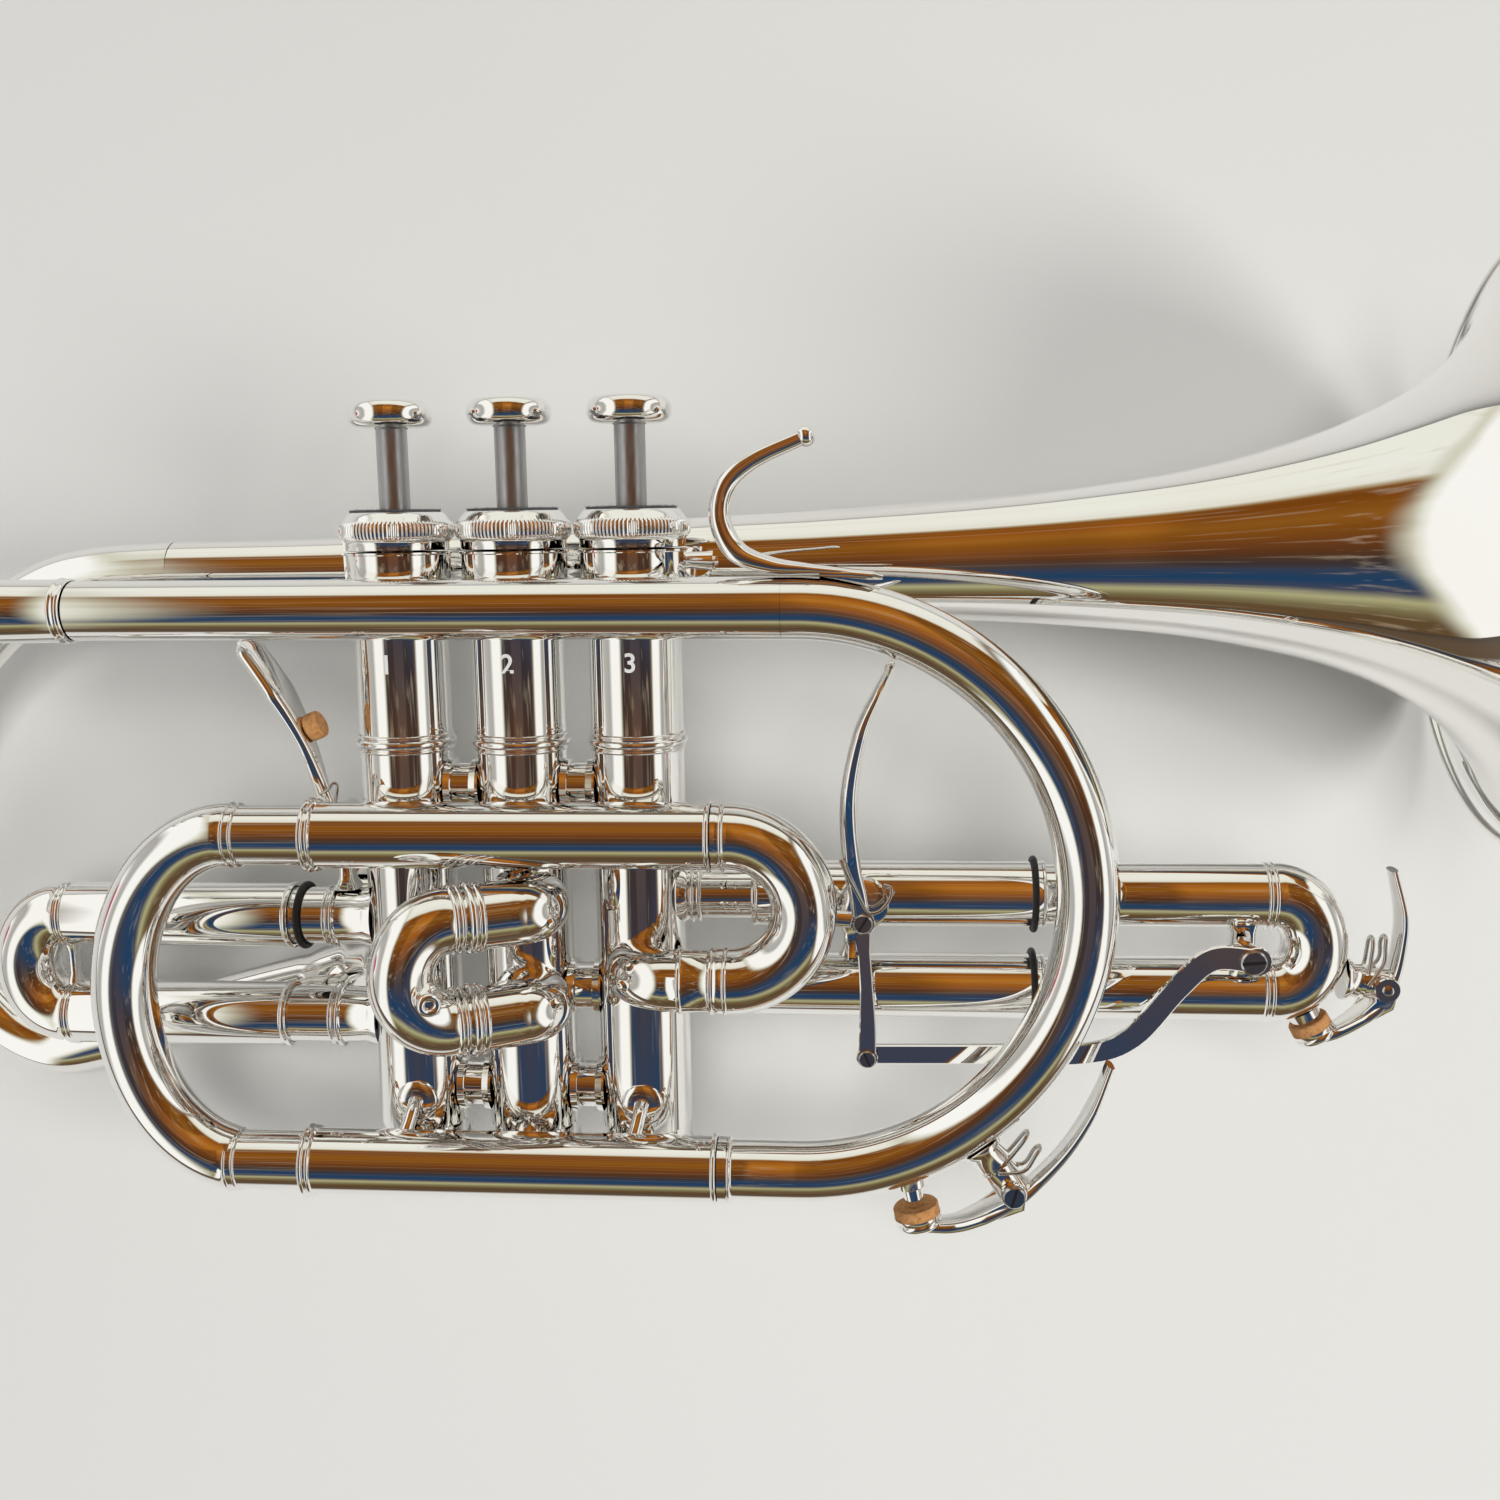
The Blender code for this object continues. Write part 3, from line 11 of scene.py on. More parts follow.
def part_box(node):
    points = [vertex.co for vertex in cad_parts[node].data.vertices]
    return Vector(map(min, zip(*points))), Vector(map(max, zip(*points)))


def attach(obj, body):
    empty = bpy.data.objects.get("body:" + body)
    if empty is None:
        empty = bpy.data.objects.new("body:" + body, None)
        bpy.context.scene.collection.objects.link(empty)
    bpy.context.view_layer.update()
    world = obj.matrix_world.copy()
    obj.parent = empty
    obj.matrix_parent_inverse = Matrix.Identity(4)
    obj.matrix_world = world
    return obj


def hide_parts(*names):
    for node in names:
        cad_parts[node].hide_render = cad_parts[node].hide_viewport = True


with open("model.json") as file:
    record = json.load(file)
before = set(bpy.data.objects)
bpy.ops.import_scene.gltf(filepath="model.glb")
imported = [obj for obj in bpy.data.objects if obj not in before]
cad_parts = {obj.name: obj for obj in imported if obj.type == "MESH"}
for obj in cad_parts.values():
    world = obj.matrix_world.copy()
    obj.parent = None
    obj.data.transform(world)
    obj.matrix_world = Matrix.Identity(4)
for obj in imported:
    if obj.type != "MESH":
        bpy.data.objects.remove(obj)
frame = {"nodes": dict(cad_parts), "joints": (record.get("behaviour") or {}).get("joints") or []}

# ------------------------------------------------ the instrument's frame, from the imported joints
joints = {j["name"]: j for j in frame["joints"]}
ax_x = Vector(joints["third_slide_pull"]["axis"]).normalized()
ax_y = -Vector(joints["valve_1_press"]["axis"]).normalized()
ax_z = ax_x.cross(ax_y).normalized()
TURN = Matrix((ax_x, ax_y, ax_z)).transposed()
MM = 0.001
T1 = Vector((-40.6, -15.2, 0))
T1_Z = 8.3
ORIGIN = Vector(joints["first_trigger_turn"]["pos_m"]) - TURN @ (Vector((T1.x, T1.y, T1_Z)) * MM)


def row(p):
    return TURN @ (Vector(p) * MM) + ORIGIN


# ---------------------------------------------------------------- materials
def nodes_of(name):
    mat = bpy.data.materials.new(name)
    mat.use_nodes = True
    tree = mat.node_tree
    return mat, tree.nodes, tree.links, tree.nodes["Principled BSDF"]


def noise(nodes, links, scale, detail=3.0, rough=0.5, stretch=None, kind="Object"):
    coord = nodes.new("ShaderNodeTexCoord")
    source = coord.outputs[kind]
    if stretch:
        mapping = nodes.new("ShaderNodeMapping")
        mapping.inputs["Scale"].default_value = stretch
        links.new(source, mapping.inputs["Vector"])
        source = mapping.outputs["Vector"]
    tex = nodes.new("ShaderNodeTexNoise")
    tex.inputs["Scale"].default_value = scale
    tex.inputs["Detail"].default_value = detail
    tex.inputs["Roughness"].default_value = rough
    links.new(source, tex.inputs["Vector"])
    return tex.outputs["Fac"]


def spread(nodes, links, value, lo, hi, a=0.3, b=0.7):
    m = nodes.new("ShaderNodeMapRange")
    m.inputs["From Min"].default_value, m.inputs["From Max"].default_value = a, b
    m.inputs["To Min"].default_value, m.inputs["To Max"].default_value = lo, hi
    links.new(value, m.inputs["Value"])
    return m.outputs["Result"]


def bump(nodes, links, shader, height, strength, distance):
    b = nodes.new("ShaderNodeBump")
    b.inputs["Strength"].default_value = strength
    b.inputs["Distance"].default_value = distance
    links.new(height, b.inputs["Height"])
    links.new(b.outputs["Normal"], shader.inputs["Normal"])


def mix(nodes, links, fac, a, b):
    m = nodes.new("ShaderNodeMix")
    m.data_type = "RGBA"
    links.new(fac, m.inputs["Factor"])
    m.inputs["A"].default_value = (*a, 1)
    m.inputs["B"].default_value = (*b, 1)
    return m.outputs["Result"]


def silver(name="silver_plate", lo=0.012, hi=0.05, wave=0.0001):
    mat, n, l, s = nodes_of(name)
    s.inputs["Metallic"].default_value = 1.0
    tint = spread(n, l, noise(n, l, 38.0, 4.0), 0.0, 1.0)
    l.new(mix(n, l, tint, (0.93, 0.915, 0.885), (0.95, 0.945, 0.93)), s.inputs["Base Color"])
    l.new(spread(n, l, noise(n, l, 160.0, 6.0, 0.65), lo, hi), s.inputs["Roughness"])
    bump(n, l, s, noise(n, l, 45.0, 1.0), 0.25, wave)
    return mat


def satin(name, colour, rough, stretch):
    mat, n, l, s = nodes_of(name)
    s.inputs["Metallic"].default_value = 1.0
    s.inputs["Base Color"].default_value = (*colour, 1)
    brush = noise(n, l, 900.0, 3.0, 0.6, stretch)
    l.new(spread(n, l, brush, rough * 0.7, rough * 1.25), s.inputs["Roughness"])
    bump(n, l, s, brush, 0.15, 0.00006)
    return mat


SILVER = silver()
STEEL = satin("stem_steel", (0.50, 0.50, 0.51), 0.40, (1.0, 0.04, 1.0))
SCREW = satin("screw_steel", (0.62, 0.61, 0.58), 0.22, (1.0, 1.0, 1.0))

FELT, n, l, s = nodes_of("black_felt")
s.inputs["Roughness"].default_value = 0.95
s.inputs["Sheen Weight"].default_value = 0.35
s.inputs["Sheen Roughness"].default_value = 0.6
fuzz = noise(n, l, 1600.0, 6.0, 0.75)
l.new(mix(n, l, spread(n, l, fuzz, 0.0, 1.0), (0.004, 0.004, 0.005), (0.028, 0.027, 0.029)),
    s.inputs["Base Color"])
bump(n, l, s, fuzz, 1.0, 0.0006)

CORK, n, l, s = nodes_of("natural_cork")
s.inputs["Roughness"].default_value = 0.88
grain = noise(n, l, 900.0, 7.0, 0.72)
pits = n.new("ShaderNodeTexVoronoi")
pits.inputs["Scale"].default_value = 900.0
l.new(n.new("ShaderNodeTexCoord").outputs["Object"], pits.inputs["Vector"])
ramp = n.new("ShaderNodeValToRGB")
ramp.color_ramp.elements[0].position, ramp.color_ramp.elements[0].color = 0.30, (0.20, 0.085, 0.028, 1)
ramp.color_ramp.elements[1].position, ramp.color_ramp.elements[1].color = 0.62, (0.60, 0.31, 0.125, 1)
extra = ramp.color_ramp.elements.new(0.46)
extra.color = (0.50, 0.235, 0.085, 1)
l.new(grain, ramp.inputs["Fac"])
l.new(ramp.outputs["Color"], s.inputs["Base Color"])
bump(n, l, s, pits.outputs["Distance"], 0.5, 0.0002)

# black rubber for the rings; also the painted shade of the screw slots
RUBBER_AND_PAINTED_SHADE, n, l, s = nodes_of("black_rubber_and_painted_shade")
s.inputs["Base Color"].default_value = (0.012, 0.012, 0.012, 1)
l.new(spread(n, l, noise(n, l, 600.0), 0.42, 0.6), s.inputs["Roughness"])

ENGRAVED, n, l, s = nodes_of("engraving")
s.inputs["Base Color"].default_value = (0.88, 0.88, 0.86, 1)
s.inputs["Roughness"].default_value = 0.75
s.inputs["Metallic"].default_value = 0.2

FLOOR, n, l, s = nodes_of("pale_floor")
s.inputs["Roughness"].default_value = 0.7
# painted reflection: the floor is pale to the camera, but glossy rays see it dark brown on its far side
# (towards -y from -0.22 m, fully from -0.32 m), a dark room painted into the silver
floor_and_painted_reflection = n.new("ShaderNodeMix")
floor_and_painted_reflection.data_type = "RGBA"
l.new(mix(n, l, spread(n, l, noise(n, l, 1.6, 2.0), 0.0, 1.0), (0.76, 0.755, 0.725),
    (0.80, 0.795, 0.77)), floor_and_painted_reflection.inputs["A"])
floor_and_painted_reflection.inputs["B"].default_value = (0.10, 0.06, 0.03, 1)
l.new(floor_and_painted_reflection.outputs["Result"], s.inputs["Base Color"])
where = n.new("ShaderNodeSeparateXYZ")
l.new(n.new("ShaderNodeTexCoord").outputs["Object"], where.inputs["Vector"])
# painted reflection mask: the far side of the floor, times Is Glossy Ray
painted_reflection_zone = spread(n, l, where.outputs["Y"], 1.0, 0.0, -0.32, -0.22)
painted_reflection_mask = n.new("ShaderNodeMath")
painted_reflection_mask.operation = "MULTIPLY"
l.new(painted_reflection_zone, painted_reflection_mask.inputs[0])
l.new(n.new("ShaderNodeLightPath").outputs["Is Glossy Ray"], painted_reflection_mask.inputs[1])
l.new(painted_reflection_mask.outputs["Value"], floor_and_painted_reflection.inputs["Factor"])
bump(n, l, s, noise(n, l, 450.0, 3.0), 0.05, 0.0002)


# ---------------------------------------------------------------- shapes
def put(name, points, faces, mat, body, cad=(), sharp=32.0, slot=None):
    mesh = bpy.data.meshes.new(name)
    mesh.from_pydata([tuple(row(p)) for p in points], [], faces)
    mesh.materials.append(mat)
    mesh.update()
    mesh.shade_smooth()
    mesh.set_sharp_from_angle(angle=math.radians(sharp))
    made = bpy.data.objects.new(name, mesh)
    bpy.context.scene.collection.objects.link(made)
    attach(made, body)
    if cad:
        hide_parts(*cad)
    return made


ROOT = "cornet_body"


def arc(centre, u, v, start, end, n):
    centre, u, v = Vector(centre), Vector(u), Vector(v)
    return [centre + u * math.cos(math.radians(start + (end - start) * i / n))
            + v * math.sin(math.radians(start + (end - start) * i / n)) for i in range(n + 1)]


def spline(points, n):
    p = [Vector(q) for q in points]
    p = [2 * p[0] - p[1]] + p + [2 * p[-1] - p[-2]]
    out = []
    for i in range(1, len(p) - 2):
        for k in range(n):
            t = k / n
            out.append(0.5 * ((2 * p[i]) + (p[i + 1] - p[i - 1]) * t
                              + (2 * p[i - 1] - 5 * p[i] + 4 * p[i + 1] - p[i + 2]) * t * t
                              + (3 * p[i] - p[i - 1] - 3 * p[i + 1] + p[i + 2]) * t ** 3))
    return out + [p[-2]]


def curve1(pairs, n):
    """The same smooth curve through (x, r) pairs."""
    return [(p.x, p.y) for p in spline([(a, b, 0) for a, b in pairs], n)]


def frames(path, up):
    ways = []
    for i in range(len(path)):
        back = next((path[j] for j in range(i, -1, -1) if (path[j] - path[i]).length > 1e-6), None)
        fore = next((path[j] for j in range(i, len(path)) if (path[j] - path[i]).length > 1e-6), None)
        a = (path[i] - back).normalized() if back else Vector((0, 0, 0))
        b = (fore - path[i]).normalized() if fore else Vector((0, 0, 0))
        ways.append((a + b).normalized())
    across = Vector(up)
    out = []
    for way in ways:
        across = (across - across.dot(way) * way).normalized()
        out.append((across.copy(), way.cross(across)))
    return out


def ring(c, f, a, b, sides):
    return [c + f[0] * (a * math.cos(2 * math.pi * (k + 0.5) / sides))
            + f[1] * (b * math.sin(2 * math.pi * (k + 0.5) / sides)) for k in range(sides)]


def skin(rings, closed=True, loop=False):
    n = len(rings[0])
    pts = [p for r in rings for p in r]
    faces = []
    last = len(rings) if loop else len(rings) - 1
    for i in range(last):
        a, b = i * n, ((i + 1) % len(rings)) * n
        faces += [(a + k, a + (k + 1) % n, b + (k + 1) % n, b + k) for k in range(n)]
    if closed and not loop:
        faces += [tuple(range(n - 1, -1, -1)), tuple(range(len(pts) - n, len(pts)))]
    return pts, faces


def tube(name, stations, body=ROOT, cad=(), mat=None, up=(0, 0, 1), sides=48, wall=0.55, **kw):
    """A hollow tube; each station is (point, outer radius) and, where there are three or more, its bore."""
    path = [Vector(s[0]) for s in stations]
    across = frames(path, up)
    outer = [ring(p, f, s[1], s[1], sides) for p, f, s in zip(path, across, stations)]
    ins = [(p, f, min(s[1] for s in stations) - wall if len(s) < 3 else s[2]) for p, f,
        s in zip(path, across, stations)]
    inner, seen = [], None
    for p, f, r in ins:
        if seen is None or (p - seen).length > 1e-6:
            inner.append(ring(p, f, r, r, sides))
            seen = p
    pts, faces = skin(outer + inner[::-1], loop=True)
    return put(name, pts, faces, mat or SILVER, body, cad, **kw)


def rod(name, path, sizes, body=ROOT, cad=(), mat=None, up=(0, 0, 1), sides=20, square=1.0, **kw):
    """A solid bar. sizes: (half along up, half across) at each point; square above 1 flattens its sides."""
    path = [Vector(p) for p in path]
    if isinstance(sizes, tuple):
        sizes = [sizes] * 2
    if len(sizes) != len(path):
        at = np.linspace(0, len(sizes) - 1, len(path))
        sizes = [tuple(float(np.interp(t, range(len(sizes)), [s[k] for s in sizes])) for k in (0,
            1)) for t in at]
    rings = []
    for p, f, s in zip(path, frames(path, up), sizes):
        r = []
        for k in range(sides):
            t = 2 * math.pi * (k + 0.5) / sides
            c, d = math.cos(t), math.sin(t)
            r.append(p + f[0] * (s[0] * math.copysign(abs(c) ** (1 / square), c))
                     + f[1] * (s[1] * math.copysign(abs(d) ** (1 / square), d)))
        rings.append(r)
    return put(name, *skin(rings), mat or SILVER, body, cad, **kw)


def plate(name, path, halves, thick, body=ROOT, cad=(), mat=None, bevel=0.25, **kw):
    """A flat bar in the plane of the valves. halves: half its width at each point; thick: half its depth."""
    path = [Vector(p) for p in path]
    halves = np.interp(np.linspace(0, len(halves) - 1, len(path)), range(len(halves)), halves)
    rings = []
    for p, f, w in zip(path, frames(path, (0, 0, 1)), halves):
        rings.append([p + f[0] * a + f[1] * b for a, b in (
            (thick, -w + bevel), (thick, w - bevel), (thick - bevel, w), (bevel - thick, w),
            (-thick, w - bevel), (-thick, bevel - w), (bevel - thick, -w), (thick - bevel, -w))])
    return put(name, *skin(rings), mat or SILVER, body, cad, sharp=20, **kw)


def turned(name, origin, axis, profile, body=ROOT, cad=(), mat=None, sides=64, up=(0, 0, 1), knurl=None,
    **kw):
    """A body turned from (distance, radius) pairs; knurl: (from, to, depth, count, least radius)."""
    origin, axis = Vector(origin), Vector(axis).normalized()
    up = Vector(up)
    if abs(up.dot(axis)) > 0.9:
        up = Vector((0, 1, 0)) if abs(axis.y) < 0.9 else Vector((1, 0, 0))
    across = (up - up.dot(axis) * axis).normalized()
    frame_ = (across, axis.cross(across))
    solid = profile[0][1] == 0
    prof = profile[1:-1] if solid else profile
    if knurl:
        sides = knurl[3] * 4
    rings = []
    for h, r in prof:
        pts = []
        for k in range(sides):
            t = 2 * math.pi * (k + 0.5) / sides
            rr = r
            if knurl and knurl[0] - 1e-6 <= h <= knurl[1] + 1e-6 and r > knurl[4]:
                rr = r - knurl[2] * (0.5 + 0.5 * math.cos(knurl[3] * t))
            pts.append(origin + axis * h + frame_[0] * (rr * math.cos(t)) + frame_[1] * (rr * math.sin(t)))
        rings.append(pts)
    return put(name, *skin(rings, closed=solid, loop=not solid), mat or SILVER, body, cad, **kw)


def bead(x, width, r, high, n=6):
    """(x, radius) pairs of a rounded ring standing on a tube of radius r, from x on."""
    return [(x + width * i / n, r + high * math.sin(math.pi * i / n) ** 0.55) for i in range(n + 1)]


def along(pairs, y, z):
    return [((x, y, z), r) for x, r in pairs]


# ---------------------------------------------------------------- sizes shared with the CAD
PITCH, CASING_R, TOP, BOTTOM, CAP_BOTTOM = 25.6, 10.0, 43.3, -88.0, -98.0
BORE, TUBE, SLEEVE, FIT = 5.85, 6.35, 7.15, 0.25
LEAD_Z, LEAD_Y, UP_Y, LOW_Y, SEAM = 17.9, 31.4, -15.2, -87.6, 43.4
BEND_R = 59.4
BEND_X = 119.9 - BEND_R
BEND_MID = (LEAD_Y + LOW_Y) / 2
FIRST_UP, FIRST_LOW, THIRD_UP, THIRD_LOW, SEC_UP, SEC_LOW = -37.4, -60.5, -31.6, -52.1, -31.2, -53.0
SEC_DIR = Vector((-0.87, 0.0, 0.493)).normalized()
SEC_A = Vector((3.0, 0, 18.6))
SEC_N = Vector((0, 1, 0)).cross(SEC_DIR)
THIRD_OPEN, THIRD_BOW, FIRST_OPEN, FIRST_BOW, PULL = 113.0, 159.7, -52.6, -105.2, 15.2
WALL = 0.55
OUT = TUBE + FIT + WALL
BELL_Z, BELL_Y, RIM_X, RIM_R = -23.5, 38.6, 219.0, 68.0

# ---------------------------------------------------------------- bell and crook
shape = [(-86.0, 7.2), (-47.0, 7.6), (0.0, 9.3), (42.0, 11.2), (96.0, 13.5), (127.0, 16.2),
    (149.0, 19.2), (170.0, 24.0),
         (184.0, 29.0), (195.0, 34.8), (203.0, 41.0), (209.0, 47.8), (213.5, 54.6), (216.8, 61.4),
         (218.6, 66.0)]
fine = curve1(shape, 8)


def bell_c(x):
    return Vector((x, BELL_Y + 0.019 * max(0.0, x - 60.0), BELL_Z))


tube("bell_flare_v", [(bell_c(x), r, r - 0.6) for x, r in fine], cad=("bell_flare",), sides=160, sharp=60)
WIRE_X, WIRE_R, AROUND, WIRE_SIDES = RIM_X - 0.95, 1.05, 160, 12
rim = []
for k in range(AROUND):
    t = 2 * math.pi * k / AROUND
    rim.append(bell_c(WIRE_X) + Vector((0, math.cos(t), math.sin(t))) * (RIM_R - WIRE_R))
rings = [[p + (p - bell_c(WIRE_X)).normalized() * (WIRE_R * math.cos(a))
    + Vector((WIRE_R * math.sin(a), 0, 0))
          for a in [2 * math.pi * j / WIRE_SIDES for j in range(WIRE_SIDES)]] for p in rim]
pts, faces = skin([r[::-1] for r in rings], loop=True)
put("bell_rim_wire", pts, faces, SILVER, ROOT, sharp=80)

crook = spline([(-86.0, 38.6, BELL_Z), (-105.4, 37.6, BELL_Z), (-118.5, 34.4, BELL_Z),
    (-133.0, 25.6, BELL_Z - 0.2),
                (-146.5, 9.5, -23.4), (-153.0, -11.0, -22.6), (-153.5, -33.0, -21.4), (-147.5, -53.5, -19.4),
                (-136.0, -68.0, -17.2), (-122.5, -74.6, -15.6), (-109.0, -73.0, -15.2), (-93.5, -67.6, -15.6),
                (-78.0, -63.4, -17.0), (-60.0, -58.8, -18.0), (-47.0, -55.4, -16.4), (-37.4, -51.6, -11.8),
                (-30.6, -49.6, -5.2)], 8)
N = len(crook) - 1
st = []
for i, p in enumerate(crook):
    r = 7.2 + (TUBE - 7.2) * min(1, 1.6 * i / N)
    if 107 <= i <= 113:
        r += 0.9 * math.sin(math.pi * (i - 106.5) / 7) ** 0.5
    st.append((p, r, r - WALL))
tube("bell_crook_v", st, cad=("bell_crook",), sharp=60)

# ---------------------------------------------------------------- receiver, leadpipe, front bend
RX = -89.0
prof = (bead(RX - 31, 3.2, 6.9, 0.8) + bead(RX - 20, 1.6, 6.7, 0.35)
    + [(RX - 18.0, 6.6), (RX - 3.2, 6.6)] + bead(RX - 3.0, 1.0, 6.6, 0.3) + bead(RX - 1.6, 1.2, 6.3, 0.45))
tube("receiver_v", [((x, LEAD_Y + 0.9, LEAD_Z), r, 5.0 + 0.8 * min(1, max(0, (RX - x) / 31))) for x,
    r in prof],
     cad=("mouthpiece_receiver",))


def lead_y(x):
    return LEAD_Y + 0.9 - 0.9 * (x - RX) / (BEND_X - RX)


prof = [(RX, 6.2), (BEND_X - 40, 6.25), (BEND_X - 2.25, TUBE)]
tube("leadpipe_v", [((x, lead_y(x), LEAD_Z), r) for x, r in prof], cad=("leadpipe",))
half = (LEAD_Y - LOW_Y) / 2
bend = arc((BEND_X, BEND_MID, LEAD_Z), (BEND_R, 0, 0), (0, half, 0), 90, -90, 72)
st = [((BEND_X - 2.2, LEAD_Y, LEAD_Z), TUBE)] + [(p, TUBE) for p in bend] \
    + [((x, LOW_Y, LEAD_Z), r) for x, r in [(SEAM + 3.4, TUBE)] + bead(SEAM + 2.9, -0.8, TUBE + 0.3, 0.45)
       + [(SEAM + 2.0, 7.05), (SEAM + 0.15, 7.05)]]
tube("front_bend_v", st, cad=("front_bend",), sharp=50)

# ---------------------------------------------------------------- main tuning slide
for label, y, x0 in (("upper", UP_Y, -42.1), ("lower", LOW_Y, -46.6)):
    prof = (bead(x0, 1.4, SLEEVE - 0.1, 0.9) + bead(x0 + 1.6, 1.1, SLEEVE - 0.1, 0.65)
        + [(x0 + 2.9, SLEEVE - 0.15)]
        + [(SEAM - 1.6, SLEEVE - 0.15)] + bead(SEAM - 1.2, 1.2, SLEEVE - 0.15, 0.6))
    tube(f"sleeve_{label}_v", [((x, y, LEAD_Z), r, TUBE + 0.1) for x, r in prof],
        cad=(f"tuning_sleeve_{label}",))
mid = (UP_Y + LOW_Y) / 2
xu, xl = -42.1 - PULL, -46.6 - PULL
prof_u = ([(24.0, TUBE), (xu + 1.1, TUBE)] + bead(xu + 1.0, -0.8, TUBE, 0.5)
    + [(xu, 6.6), (xu - 0.7, 6.6)] + bead(xu - 0.8, -0.8, 6.6, 0.4))
prof_l = (bead(xl - 1.6, 0.8, 6.6, 0.4) + [(xl - 0.7, 6.6), (xl, 6.6)] + bead(xl + 0.2, 0.8, TUBE, 0.5)
    + [(xl + 1.1, TUBE), (24.0, TUBE)])
ru = [((x, UP_Y, LEAD_Z), r, BORE) for x, r in prof_u]
rl = [((x, LOW_Y, LEAD_Z), r, BORE) for x, r in prof_l]
bow = arc((xu - 2.2, mid, LEAD_Z), (-25.8, 0, 0), (0, 36.2, 0), 90, -79, 56)
tube("tuning_slide_v", ru + [(p, 6.75, BORE) for p in bow] + rl, "tuning_slide_body", ("tuning_slide",),
    sharp=50)

IN_Y = -46.2
ir = (UP_Y - IN_Y) / 2
st = [((x, UP_Y, LEAD_Z), r) for x, r in [(SEAM + 0.15, 7.05), (SEAM + 1.6, 7.05)]
    + bead(SEAM + 1.8, 0.9, 6.9, 0.4) + [(SEAM + 2.9, 6.85)]]
st += [(p, 6.85) for p in arc((SEAM + 3, (UP_Y + IN_Y) / 2, LEAD_Z), (ir + 0.3, 0, 0), (0, ir, 0), 88,
    -90, 40)]
st += [((x, IN_Y, LEAD_Z), r) for x, r in bead(SEAM + 2.9, -1.0, 6.85, 0.4)
    + [(SEAM + 1.7, 6.9), (SEAM + 0.2, 6.9)] + bead(SEAM, -1.0, 6.7, 0.45) + [(SEAM - 1.4, 6.5), (36.8, 6.5)]
       + bead(36.8, -1.0, 6.5, 0.35)]
st += [(p, 6.5) for p in arc((PITCH + 8.6, IN_Y, LEAD_Z - 8.6), (0, 0, 8.6), (-8.6, 0, 0), 4, 90, 14)]
st += [((PITCH, IN_Y, 7.0), 6.5)]
tube("inlet_bow_v", st, cad=("inlet_bow",), sharp=50)

